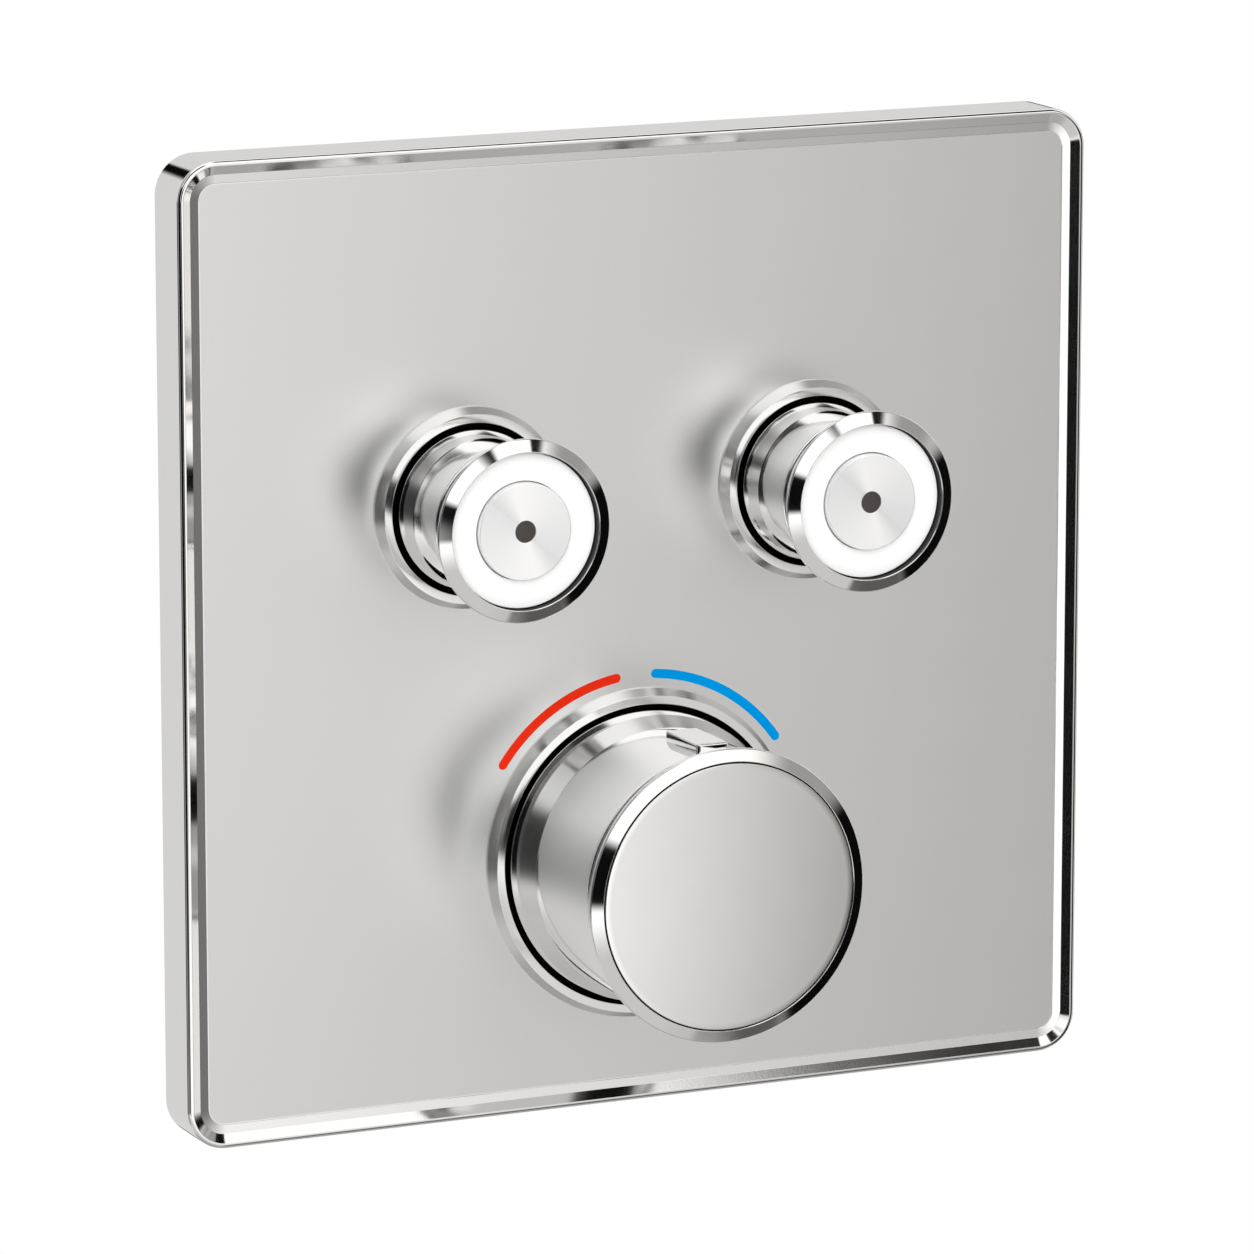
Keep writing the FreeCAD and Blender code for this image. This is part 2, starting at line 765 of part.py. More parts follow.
# ---------------------------------------------------------------- sleeves round the controls
def make_sleeve(label, axis, bore, nut_head):
    tube = bore + S.sleeve_wall
    flange = tube + S.sleeve_flange
    seat = nut_head + S.thread_gap
    return keep(turned(label, [
        (seat, S.sleeve_back),
        (tube, S.sleeve_back),
        (tube, -PANEL_FRONT),
        (flange, -PANEL_FRONT),
        (flange, -PANEL_FRONT - S.sleeve_flange_edge),
        (tube, -S.sleeve_front),
        (bore, -S.sleeve_front),
        (bore, S.sleeve_seat_depth),
        (seat, S.sleeve_seat_depth),
    ], axis))


def make_sleeves():
    make_sleeve("temperature_sleeve", KNOB_AXIS, S.knob_sleeve_bore, S.knob_nut_head)
    for side, axis in BUTTONS:
        make_sleeve(side + "_sleeve", axis, S.push_sleeve_bore, S.push_nut_head)
    rings = []
    for label, axis, bore in (("temperature_ring", KNOB_AXIS, S.knob_sleeve_bore),
                              ("left_ring", LEFT_AXIS, S.push_sleeve_bore),
                              ("right_ring", RIGHT_AXIS, S.push_sleeve_bore)):
        inner = bore + S.sleeve_wall
        rings.append(turned(label, tube_points(
            inner + S.running_gap / 2, inner + S.sleeve_seal_width,
            -PANEL_BACK, -PANEL_BACK + S.sleeve_seal_depth), axis))
    group("sleeve_seals", rings)


# ---------------------------------------------------------------- the waisted knob shapes
def waisted_profile(kind):
    """Outer profile of a control from its rear edge to the mouth in its front."""
    v = {name[len(kind) + 1:]: getattr(S, name) for name in vars(S) if name.startswith(kind + "_")}
    neck = v["neck_front"] - v["neck_rear"]
    waist_radius = (neck * neck / 4 + v["waist"] * v["waist"]) / (2 * v["waist"])
    rise = v["flare_radius"] - v["neck_radius"]
    run = v["flare_front"] - v["neck_front"]
    flare_arc = (run * run + rise * rise) / (2 * rise)
    rear_round = S.edge_round / 2
    return [
        (v["skirt_radius"], -v["rear"]),
        (v["rear_radius"] - rear_round, -v["rear"]),
        (v["rear_radius"], -v["rear"] - rear_round),
        (v["band_radius"], -v["band_front"]),
        (v["neck_radius"], -v["neck_rear"]),
        (v["neck_radius"], -v["neck_front"], waist_radius),
        (v["flare_radius"], -v["flare_front"], flare_arc),
        (v["rim_radius"], -v["rim_rear"]),
        (v["rim_radius"], -v["rim_front"]),
        (v["mouth_radius"], -v["front"]),
    ]


def make_knob_shell():
    web_front = -S.knob_cap_seat + S.knob_screw_head_depth
    recess = S.knob_screw_head + S.hole_clearance
    hole = S.knob_screw_shank + S.hole_clearance
    step = S.knob_skirt_radius - S.knob_inner_radius
    body = turned("knob_shell", waisted_profile("knob") + [
        (S.knob_mouth_radius, -S.knob_cap_seat),
        (recess, -S.knob_cap_seat),
        (recess, web_front),
        (hole, web_front),
        (hole, -S.knob_web_rear),
        (S.knob_inner_radius, -S.knob_web_rear),
        (S.knob_inner_radius, -S.knob_neck_rear),
        (S.knob_skirt_radius, -S.knob_neck_rear + step),
    ], KNOB_AXIS)
    slot = new_sketch(body, "slot_sketch", "XY_Plane", S.stop_foot_bottom)
    half = S.stop_width / 2 + S.stop_gap
    outline(slot, rectangle_points(-half, half, -S.stop_front - S.stop_gap,
                                   -S.stop_front + S.stop_length + S.stop_gap))
    cut = body.newObject("PartDesign::Pocket", "button_slot")
    cut.Profile = slot
    cut.Reversed = True
    bind(cut, "Length", S.stop_top - S.stop_foot_bottom)
    return keep(body)


def make_knob_cap():
    radius = S.knob_mouth_radius - S.knob_cap_gap
    chamfer = S.knob_cap_chamfer
    face = radius - chamfer
    crown = S.knob_cap_crown
    face_edge = crown - S.knob_cap_front
    return keep(turned("knob_cap", [
        (0, -S.knob_cap_seat),
        (0, -S.knob_cap_front),
        (face, face_edge, (face * face + crown * crown) / (2 * crown)),
        (radius, face_edge + chamfer),
        (radius, -S.knob_cap_seat),
    ], KNOB_AXIS))


def lug(body, name, inner, outer, front, rear, start):
    """A stop lug: a sector of a ring, from the body's +X side turned by start degrees."""
    feature = add_turned(body, name, tube_points(inner, outer, front, rear),
                         angle=S.stop_lug_angle.value)
    bind(feature, "Angle", S.stop_lug_angle)
    body.Placement.Rotation = FreeCAD.Rotation(Vector(0, 1, 0), start.value)
    return feature


def make_knob_adapter():
    hole = S.knob_screw_shank + S.hole_clearance
    bore = S.spindle_nose + S.running_gap
    floor = -S.knob_web_rear + S.adapter_floor
    web = -S.knob_web_rear + S.adapter_web
    body = turned("knob_adapter", [
        (hole, -S.knob_web_rear),
        (S.adapter_radius, -S.knob_web_rear),
        (S.adapter_radius, -S.adapter_rear),
        (S.adapter_bore, -S.adapter_rear),
        (S.adapter_bore, web),
        (S.adapter_hub_radius, web),
        (S.adapter_hub_radius, -S.adapter_hub_rear),
        (bore, -S.adapter_hub_rear),
        (bore, floor),
        (hole, floor),
    ], KNOB_AXIS)
    middle = (S.adapter_radius + S.adapter_bore) / 2
    lug(body, "moving_lug", S.stop_ring_radius + S.stop_gap, middle, -S.stop_ring_front,
        -S.stop_lug_rear, S.moving_lug_start)
    return keep(body)


def make_stop_ring():
    body = turned("stop_ring", tube_points(S.cartridge_nose_radius + S.running_gap,
                                           S.stop_ring_radius, -S.stop_ring_front,
                                           -S.stop_ring_rear), KNOB_AXIS)
    middle = (S.cartridge_nose_radius + S.stop_ring_radius) / 2
    lug(body, "fixed_lug", middle, S.stop_lug_radius, -S.stop_ring_front, -S.stop_lug_rear,
        S.fixed_lug_start)
    return keep(body)


def make_knob_screw():
    seat = -S.knob_cap_seat + S.knob_screw_head_depth
    return keep(screw("knob_screw", KNOB_AXIS, S.knob_screw_head, S.knob_screw_head_depth,
                      S.knob_screw_shank, S.knob_screw_length, seat))


def make_stop_button():
    body = new_body("stop_button", KNOB_AXIS)
    half = S.stop_width / 2
    front, rear = -S.stop_front, -S.stop_front + S.stop_length
    corner = S.stop_corner
    foot = new_sketch(body, "foot_sketch", "XY_Plane", S.stop_foot_bottom)
    over = S.stop_foot_overhang
    outline(foot, rectangle_points(-half - over, half + over, front - over / 2, rear + over / 2))
    foot_pad = body.newObject("PartDesign::Pad", "foot")
    foot_pad.Profile = foot
    bind(foot_pad, "Length", S.stop_foot_top - S.stop_foot_bottom)
    tab = new_sketch(body, "tab_sketch", "XY_Plane", S.stop_foot_top)
    outline(tab, [
        (corner - half, front, corner),
        (half - corner, front),
        (half, front + corner, corner),
        (half, rear),
        (-half, rear),
        (-half, front + corner),
    ])
    tab_pad = body.newObject("PartDesign::Pad", "tab")
    tab_pad.Profile = tab
    bind(tab_pad, "Length", S.stop_top - S.stop_foot_top)
    well = new_sketch(body, "well_sketch", "XY_Plane", S.stop_foot_bottom)
    circle(well, 0, (front + rear) / 2, S.stop_spring_radius + S.stop_gap)
    spring_well = body.newObject("PartDesign::Pocket", "spring_well")
    spring_well.Profile = well
    spring_well.Reversed = True
    bind(spring_well, "Length", S.stop_spring_top + S.running_gap - S.stop_foot_bottom)
    keep(body)

    spring = new_body("stop_button_spring", KNOB_AXIS)
    coil = new_sketch(spring, "stop_spring_sketch", "XY_Plane", S.adapter_radius + S.running_gap / 2)
    circle(coil, 0, (front + rear) / 2, S.stop_spring_radius)
    circle(coil, 0, (front + rear) / 2, S.stop_spring_bore)
    coil_pad = spring.newObject("PartDesign::Pad", "stop_spring_pad")
    coil_pad.Profile = coil
    bind(coil_pad, "Length", S.stop_spring_top - S.adapter_radius - S.running_gap / 2)
    keep(spring)


# ---------------------------------------------------------------- push-and-turn buttons
def make_buttons():
    web_rear = -S.collar_well_floor + S.collar_web
    pin_bore = S.stem_pin_radius + S.running_gap
    hub_bore = S.push_nose_bore
    hub_radius = hub_bore + S.collar_hub_wall
    step = S.collar_skirt_radius - S.collar_inner_radius
    ring_bore = S.disc_radius + S.disc_gap
    ring_radius = S.collar_mouth_radius - S.face_ring_gap
    for side, axis in BUTTONS:
        keep(turned(side + "_collar", waisted_profile("collar") + [
            (S.collar_mouth_radius, -S.collar_well_floor),
            (0, -S.collar_well_floor),
            (0, -S.stem_pin_front - S.running_gap),
            (pin_bore, -S.stem_pin_front - S.running_gap),
            (pin_bore, web_rear),
            (hub_bore, web_rear),
            (hub_bore, -S.collar_hub_rear),
            (hub_radius, -S.collar_hub_rear),
            (hub_radius, web_rear),
            (S.collar_inner_radius, web_rear),
            (S.collar_inner_radius, -S.collar_neck_rear - step),
            (S.collar_skirt_radius, -S.collar_neck_rear),
        ], axis))
        keep(turned(side + "_face_ring", tube_points(
            ring_bore, ring_radius, -S.face_ring_front, -S.collar_well_floor), axis))
        keep(turned(side + "_disc", [
            (0, -S.collar_well_floor),
            (0, -S.disc_front + S.disc_dimple_depth),
            (S.disc_dimple_radius, -S.disc_front + S.disc_dimple_depth),
            (S.disc_dimple_radius, -S.disc_front),
            (S.disc_radius, -S.disc_front),
            (S.disc_radius, -S.collar_well_floor),
        ], axis))


# ---------------------------------------------------------------- valve body and its ports
def make_valve_body():
    body = new_body("valve_body")
    slant = S.block_half_width - S.block_top_half_width
    half_block = [
        (S.block_half_width - S.block_chamfer, -S.block_low),
        (S.block_half_width, S.block_chamfer - S.block_low),
        (S.block_half_width, S.block_shoulder),
        (S.block_top_half_width, S.block_shoulder + slant),
        (S.block_top_half_width, S.block_top),
    ]
    block = half_block + [(-x, z) for x, z in reversed(half_block)]
    pad(body, "block", lambda s: outline(s, block), S.block_back, S.block_front)

    for name, across in (("left_ears", -S.fixing_spread), ("right_ears", S.fixing_spread)):
        points = ear_points(across)
        pad(body, name, lambda s, p=points: outline(s, p), S.block_back, S.ear_front)

    def bosses(sketch):
        circle(sketch, *KNOB_AXIS, S.knob_boss_radius)
        for _, axis in BUTTONS:
            circle(sketch, *axis, S.push_boss_radius)

    pad(body, "bosses", bosses, S.block_front, S.boss_front)

    def posts(sketch):
        for x, z in carrier_posts():
            circle(sketch, x, z, S.post_radius)

    pad(body, "posts", posts, S.block_front, -CARRIER_BACK)

    bores = [
        ("knob_thread_bore", [KNOB_AXIS], S.knob_thread, S.boss_front, S.seat_depth),
        ("knob_chamber", [KNOB_AXIS], S.knob_bore, S.seat_depth, S.knob_bore_end),
        ("push_thread_bores", [LEFT_AXIS, RIGHT_AXIS], S.push_thread, S.boss_front, S.seat_depth),
        ("push_chambers", [LEFT_AXIS, RIGHT_AXIS], S.push_bore, S.seat_depth, S.push_bore_end),
        ("outlet_bores", [LEFT_AXIS, RIGHT_AXIS], S.outlet_bore, S.push_bore_end, S.port_step),
        ("port_sockets", [LEFT_AXIS, RIGHT_AXIS, HOT_AXIS, COLD_AXIS], S.port_thread, S.port_step,
         S.block_back),
        ("hot_bore", [HOT_AXIS], S.port_bore, S.hot_gallery, S.port_step),
        ("cold_bore", [COLD_AXIS], S.port_bore, S.cold_gallery, S.port_step),
        ("post_bores", carrier_posts(), S.carrier_screw_shank + S.running_gap / 2, -CARRIER_BACK,
         S.carrier_screw_length),
        ("fixing_holes", fixing_places(), S.fixing_hole, S.ear_front, S.block_back),
    ]
    for name, axes, radius, front, rear in bores:
        def draw(sketch, axes=axes, radius=radius):
            for x, z in axes:
                circle(sketch, x, z, radius)
        pocket(body, name, draw, front, rear)

    for name, radius, plane, across, depth, start, end, plug_end in GALLERIES:
        drill(body, name, plane, across, depth, start, end, radius)
        drill(body, name + "_plug_hole", plane, across, depth, start, plug_end,
              S.plug_radius + S.running_gap / 2)
    return keep(body)


def ear_points(x):
    """An upright bar with rounded ends at the back of the block, an ear at each end."""
    half = S.ear_half_width
    return [
        (x + half, -S.fixing_drop, half),
        (x + half, S.fixing_rise),
        (x, S.fixing_rise + half, half),
        (x - half, S.fixing_rise, half),
        (x - half, -S.fixing_drop),
        (x, -S.fixing_drop - half, half),
    ]


def fixing_places():
    """X and Z of the four fixing screws."""
    return [(x, z) for z in (S.fixing_rise, -S.fixing_drop) for x in (-S.fixing_spread, S.fixing_spread)]


# Drilled galleries: name, radius, plane that the drill is square to, place across it, depth in the
# wall, and the drill's start, its end and the end of the wider plug hole.
GALLERIES = [
    ("hot_feed", S.gallery_radius, "YZ_Plane", -S.knob_drop, S.hot_gallery, -S.block_half_width,
     S.gallery_radius - S.knob_bore, S.plug_length - S.block_half_width),
    ("cold_feed", S.gallery_radius, "YZ_Plane", -S.knob_drop, S.cold_gallery, S.block_half_width,
     S.knob_bore - S.gallery_radius, S.block_half_width - S.plug_length),
    ("mixed_cross", S.gallery_radius, "YZ_Plane", S.button_rise, S.mixed_gallery,
     -S.block_top_half_width, S.button_spread, S.plug_length / 2 - S.block_top_half_width),
    ("mixed_riser", S.riser_radius, "XY_Plane", size(0), S.mixed_gallery, S.block_top,
     S.riser_radius + S.knob_bore / 2 - S.knob_drop, S.block_top - S.plug_length),
]


def drill(body, name, plane, across, depth, start, end, radius):
    """A round hole from start to end along X or Z."""
    sketch = new_sketch(body, name + "_sketch", plane, start)
    if plane == "YZ_Plane":
        circle(sketch, depth, across, radius)
    else:
        circle(sketch, across, depth, radius)
    feature = body.newObject("PartDesign::Pocket", name)
    feature.Profile = sketch
    inwards = start.value > end.value
    feature.Reversed = not inwards
    bind(feature, "Length", start - end if inwards else end - start)
    return feature


def make_gallery_plugs():
    plugs = []
    for name, _, plane, across, depth, start, _, plug_end in GALLERIES:
        body = new_body(name + "_plug")
        sketch = new_sketch(body, name + "_plug_sketch", plane, start)
        if plane == "YZ_Plane":
            circle(sketch, depth, across, S.plug_radius)
        else:
            circle(sketch, across, depth, S.plug_radius)
        feature = body.newObject("PartDesign::Pad", name + "_plug_pad")
        feature.Profile = sketch
        inwards = start.value > plug_end.value
        feature.Reversed = inwards
        bind(feature, "Length", start - plug_end if inwards else plug_end - start)
        plugs.append(body)
    group("gallery_plugs", plugs)


def make_fixing_screws():
    seat, end = S.ear_front, S.ear_front + S.fixing_length
    thread_start = S.block_back + S.fixing_thread_gap
    profile = [
        (0, seat - S.fixing_head_depth),
        (S.fixing_head, seat - S.fixing_head_depth),
        (S.fixing_head, seat),
        (S.fixing_neck, seat),
        (S.fixing_neck, thread_start),
        (S.fixing_shank, thread_start),
        (S.fixing_shank, end),
        (0, end),
    ]
    group("fixing_screws", [
        turned("fixing_screw_%d" % (i + 1), profile, place)
        for i, place in enumerate(fixing_places())
    ])


def make_nipples():
    ports = (("hot_inlet", HOT_AXIS), ("cold_inlet", COLD_AXIS), ("left_outlet", LEFT_AXIS),
             ("right_outlet", RIGHT_AXIS))
    groove_floor = S.nipple_spigot_radius - S.nipple_groove_depth
    groove_end = S.nipple_groove_front + S.nipple_groove_width
    rings = []
    for name, axis in ports:
        keep(turned(name + "_nipple", [
            (S.nipple_front_bore, S.port_step),
            (S.port_thread - S.thread_gap, S.port_step),
            (S.port_thread - S.thread_gap, S.block_back),
            (S.nipple_flange_radius, S.block_back),
            (S.nipple_flange_radius, S.block_back + S.nipple_flange),
            (S.nipple_spigot_radius, S.block_back + S.nipple_flange),
            (S.nipple_spigot_radius, S.nipple_groove_front),
            (groove_floor, S.nipple_groove_front),
            (groove_floor, groove_end),
            (S.nipple_spigot_radius, groove_end),
            (S.nipple_spigot_radius, S.nipple_end),
            (S.nipple_rear_bore, S.nipple_end),
            (S.nipple_rear_bore, S.nipple_shelf),
            (S.nipple_front_bore, S.nipple_shelf),
        ], axis))
        rings.append(turned(name + "_ring", tube_points(
            groove_floor + S.running_gap / 2, S.nipple_spigot_radius + S.nipple_seal_proud,
            S.nipple_groove_front + S.running_gap, groove_end - S.running_gap), axis))
    group("nipple_seals", rings)


def make_check_valves():
    radius = S.nipple_rear_bore - S.running_gap
    front, rear = S.nipple_shelf, S.nipple_shelf + S.cage_length
    wall = radius - S.cage_wall
    poppet_rear = rear - S.cage_floor - S.running_gap
    poppet_front = poppet_rear - S.poppet_thickness
    for side, axis in (("hot", HOT_AXIS), ("cold", COLD_AXIS)):
        keep(turned(side + "_check_cage", [
            (S.poppet_stem + S.running_gap, front),
            (radius, front),
            (radius, rear),
            (S.cage_seat, rear),
            (S.cage_seat, rear - S.cage_floor),
            (wall, rear - S.cage_floor),
            (wall, front + S.cage_floor),
            (S.poppet_stem + S.running_gap, front + S.cage_floor),
        ], axis))
        keep(turned(side + "_check_poppet", [
            (0, front - S.poppet_tail),
            (S.poppet_stem, front - S.poppet_tail),
            (S.poppet_stem, poppet_front),
            (S.poppet_radius, poppet_front),
            (S.poppet_radius, poppet_rear),
            (0, poppet_rear),
        ], axis))
        keep(turned(side + "_check_spring", tube_points(
            S.poppet_spring_bore, S.poppet_spring_radius, front + S.cage_floor, poppet_front), axis))
        strainer = turned(side + "_strainer", [
            (0, rear), (radius, rear), (radius, rear + S.strainer_thickness),
            (0, rear + S.strainer_thickness),
        ], axis)
        hole = pocket(strainer, side + "_strainer_hole",
                      lambda s: circle(s, wall / 2, 0, S.strainer_hole),
                      rear, rear + S.strainer_thickness)
        around(strainer, hole, int(S.strainer_holes.value))
        keep(strainer)


# ---------------------------------------------------------------- thermostatic cartridge
def groove_points(radius, grooves):
    """Grooves round a cylinder from the front to the back, each a (front, rear, depth)."""
    points = []
    for front, rear, depth in grooves:
        points += [(radius, front), (radius - depth, front), (radius - depth, rear), (radius, rear)]
    return points


def ring_groove(front):
    """Groove for a sealing ring."""
    return front, front + S.groove_width, S.groove_depth


def water_ring(middle, height, depth):
    """Shallow groove that leads the water round to every window of a row."""
    half = height / 2 + S.port_recess_margin
    return middle - half, middle + half, depth


def cut_windows(body, name, width, height, middle, rows):
    """Openings cut right across a cartridge, one pair for each row."""
    cut = slot_across(body, name, width, height, middle)
    if rows > 1:
        around(body, cut, rows, 90)


def make_thermostat():
    radius = S.knob_bore - S.running_gap
    chamber_front = S.cartridge_shoulder_front + S.cartridge_front_wall
    chamber_end = S.knob_bore_end - S.cartridge_end_wall
    flange = S.knob_thread - S.running_gap
    fronts = thermostat_grooves()
    ports = (("mixed_windows", S.outlet_window_depth, S.mixed_gallery),
             ("cold_windows", S.window_depth, S.cold_gallery),
             ("hot_windows", S.window_depth, S.hot_gallery))
    grooves = []
    for front, (_, height, middle) in zip(fronts, ports):
        grooves += [ring_groove(front), water_ring(middle, height, S.port_recess)]
    spindle_bore = S.spindle_radius + S.running_gap
    body = turned("thermostat_housing", [
        (spindle_bore, -S.cartridge_nose_front),
        (S.cartridge_nose_radius, -S.cartridge_nose_front),
        (S.cartridge_nose_radius, S.cartridge_shoulder_front),
        (S.cartridge_shoulder_radius, S.cartridge_shoulder_front),
        (S.cartridge_shoulder_radius, S.seat_depth - S.flange_thickness),
        (flange, S.seat_depth - S.flange_thickness),
        (flange, S.seat_depth),
        (radius, S.seat_depth),
    ] + groove_points(radius, grooves) + [
        (radius, S.knob_bore_end),
        (0, S.knob_bore_end),
        (0, chamber_end),
        (S.cartridge_chamber, chamber_end),
        (S.cartridge_chamber, chamber_front),
        (spindle_bore, chamber_front),
    ], KNOB_AXIS)
    for name, height, middle in ports:
        cut_windows(body, name, S.window_width, height, middle, 2)
    keep(body)

    keep(make_cartridge_nut("thermostat_nut", KNOB_AXIS, S.cartridge_shoulder_radius,
                            S.knob_nut_head, S.knob_thread))
    group("thermostat_seals", [
        turned("thermostat_ring_%d" % (i + 1), ring_points(radius, front, S.knob_bore), KNOB_AXIS)
        for i, front in enumerate(fronts)
    ])
    make_stop_ring()

    flange_front = chamber_front + S.running_gap
    nose_rear = -S.adapter_hub_rear + 2 * S.running_gap
    screw_end = -S.knob_cap_seat + S.knob_screw_head_depth + S.knob_screw_length
    tap = S.knob_screw_shank + S.running_gap / 2
    keep(turned("spindle", [
        (tap, -S.spindle_nose_front),
        (S.spindle_nose, -S.spindle_nose_front),
        (S.spindle_nose, nose_rear),
        (S.spindle_radius, nose_rear),
        (S.spindle_radius, flange_front),
        (S.spindle_flange_radius, flange_front),
        (S.spindle_flange_radius, flange_front + S.spindle_flange),
        (S.spindle_thread, flange_front + S.spindle_flange),
        (S.spindle_thread, S.spindle_end),
        (0, S.spindle_end),
        (0, screw_end + S.running_gap),
        (tap, screw_end + S.running_gap),
    ], KNOB_AXIS))
    thread = S.spindle_thread + S.running_gap
    keep(turned("regulating_nut", [
        (thread, S.regulator_front),
        (S.regulator_radius, S.regulator_front),
        (S.regulator_radius, S.regulator_end),
        (S.regulator_cup, S.regulator_end),
        (S.regulator_cup, S.regulator_floor),
        (thread, S.regulator_floor),
    ], KNOB_AXIS))
    spring_end = S.regulator_floor + S.overtravel_length
    keep(turned("overtravel_spring", tube_points(
        S.overtravel_bore, S.plunger_radius, S.regulator_floor, spring_end), KNOB_AXIS))
    plunger_end = spring_end + S.plunger_thickness
    keep(turned("overtravel_plunger", [
        (0, spring_end), (S.plunger_radius, spring_end), (S.plunger_radius, plunger_end),
        (0, plunger_end),
    ], KNOB_AXIS))
    wax_front = plunger_end + S.wax_pin_length
    keep(turned("wax_element", [
        (0, plunger_end),
        (S.wax_pin, plunger_end),
        (S.wax_pin, wax_front),
        (S.wax_radius, wax_front),
        (S.wax_radius, S.wax_end),
        (0, S.wax_end),
    ], KNOB_AXIS))
    shuttle_front = S.cold_gallery - S.window_depth / 2 + S.cold_opening
    shuttle_end = S.hot_gallery + S.window_depth / 2 - S.hot_opening
    shuttle_radius = S.cartridge_chamber - S.running_gap
    shuttle_inner = shuttle_radius - S.shuttle_wall
    bore = S.wax_radius + S.running_gap
    web_rear = S.shuttle_web_front + S.shuttle_web
    shuttle = turned("shuttle", [
        (bore, S.shuttle_web_front),
        (shuttle_inner, S.shuttle_web_front),
        (shuttle_inner, shuttle_front),
        (shuttle_radius, shuttle_front),
        (shuttle_radius, shuttle_end),
        (shuttle_inner, shuttle_end),
        (shuttle_inner, web_rear),
        (bore, web_rear),
    ], KNOB_AXIS)
    middle = (bore + shuttle_inner) / 2
    hole = pocket(shuttle, "shuttle_hole", lambda s: circle(s, middle, 0, S.shuttle_hole),
                  S.shuttle_web_front, web_rear)
    around(shuttle, hole, int(S.shuttle_holes.value))
    keep(shuttle)
    keep(turned("return_spring", tube_points(
        S.return_spring_bore, S.return_spring_bore + S.return_spring_wall, web_rear, chamber_end),
        KNOB_AXIS))


def thermostat_grooves():
    """Fronts of the three ring grooves, between the cartridge's ports."""
    half = S.groove_width / 2
    return [
        (S.seat_depth + S.mixed_gallery - S.outlet_window_depth / 2) / 2 - half,
        (S.mixed_gallery + S.cold_gallery) / 2 - half,
        (S.cold_gallery + S.hot_gallery) / 2 - half,
    ]


def ring_points(radius, front, bore):
    """A sealing ring squeezed between a groove's floor and the bore round it."""
    gap = S.running_gap
    return tube_points(radius - S.groove_depth + gap / 2, bore - gap / 2,
                       front + gap, front + S.groove_width - gap)


def make_cartridge_nut(label, axis, shoulder, head, thread):
    """Threaded ring that holds a cartridge's flange on its seat."""
    bore = shoulder + 2 * S.running_gap
    head_rear = S.boss_front - S.nut_head_gap
    return turned(label, [
        (bore, S.nut_front),
        (head, S.nut_front),
        (head, head_rear),
        (thread - S.thread_gap, head_rear),
        (thread - S.thread_gap, S.seat_depth - S.flange_thickness),
        (bore, S.seat_depth - S.flange_thickness),
    ], axis)


# ---------------------------------------------------------------- push cartridges
def make_push_cartridges():
    radius = S.push_bore - S.running_gap
    flange = S.push_thread - S.running_gap
    chamber_end = S.push_bore_end - S.push_end_wall
    seat_rear = S.push_seat_front + S.push_seat
    half = S.groove_width / 2
    grooves = [
        (S.seat_depth + S.mixed_gallery - S.push_window_depth / 2) / 2 - half,
        seat_rear + S.groove_width,
    ]
    nose = S.push_nose_bore - S.running_gap
    drum = S.push_chamber - S.running_gap
    drum_front = S.push_chamber_front + S.running_gap
    stem_bore = S.stem_radius + S.running_gap
    collar_front = -S.collar_well_floor + S.collar_web + S.running_gap
    piston_front = seat_rear + S.running_gap
    water = water_ring(S.mixed_gallery, S.push_window_depth, S.push_port_recess)
    rings = []
    for side, axis in BUTTONS:
        housing = turned(side + "_cartridge", [
            (S.push_nose_bore, -S.push_nose_front),
            (S.push_nose_radius, -S.push_nose_front),
            (S.push_nose_radius, S.seat_depth - S.flange_thickness),
            (flange, S.seat_depth - S.flange_thickness),
            (flange, S.seat_depth),
            (radius, S.seat_depth),
        ] + groove_points(radius, [ring_groove(grooves[0]), water, ring_groove(grooves[1])]) + [
            (radius, S.push_bore_end),
            (S.push_outlet, S.push_bore_end),
            (S.push_outlet, chamber_end),
            (S.push_chamber, chamber_end),
            (S.push_chamber, seat_rear),
            (S.push_seat_bore, seat_rear),
            (S.push_seat_bore, S.push_seat_front),
            (S.push_chamber, S.push_seat_front),
            (S.push_chamber, S.push_chamber_front),
            (S.push_nose_bore, S.push_chamber_front),
        ], axis)
        cut_windows(housing, side + "_inlet_windows", S.push_window_width, S.push_window_depth,
                    S.mixed_gallery, 1)
        keep(housing)
        keep(make_cartridge_nut(side + "_cartridge_nut", axis, S.push_nose_radius, S.push_nut_head,
                                S.push_thread))
        rings += [turned("%s_cartridge_ring_%d" % (side, i + 1),
                         ring_points(radius, front, S.push_bore), axis)
                  for i, front in enumerate(grooves)]

        throttle = turned(side + "_throttle", [
            (stem_bore, -S.throttle_front),
            (nose, -S.throttle_front),
            (nose, drum_front),
            (drum, drum_front),
            (drum, S.push_seat_front - 2 * S.running_gap),
            (drum - S.throttle_drum_wall, S.push_seat_front - 2 * S.running_gap),
            (drum - S.throttle_drum_wall, drum_front + S.throttle_web),
            (stem_bore, drum_front + S.throttle_web),
        ], axis)
        slot_across(throttle, side + "_throttle_windows", S.push_window_width,
                    S.push_window_depth, S.mixed_gallery)
        keep(throttle)
        keep(turned(side + "_stem", [
            (0, -S.stem_pin_front),
            (S.stem_pin_radius, -S.stem_pin_front),
            (S.stem_pin_radius, collar_front),
            (S.stem_collar_radius, collar_front),
            (S.stem_collar_radius, collar_front + S.stem_collar),
            (S.stem_radius, collar_front + S.stem_collar),
            (S.stem_radius, piston_front),
            (S.piston_radius, piston_front),
            (S.piston_radius, piston_front + S.piston_thickness),
            (0, piston_front + S.piston_thickness),
        ], axis))
        keep(turned(side + "_push_spring", tube_points(
            S.push_spring_bore, S.push_spring_bore + S.push_spring_wall,
            piston_front + S.piston_thickness, chamber_end), axis))
    group("cartridge_seals", rings)


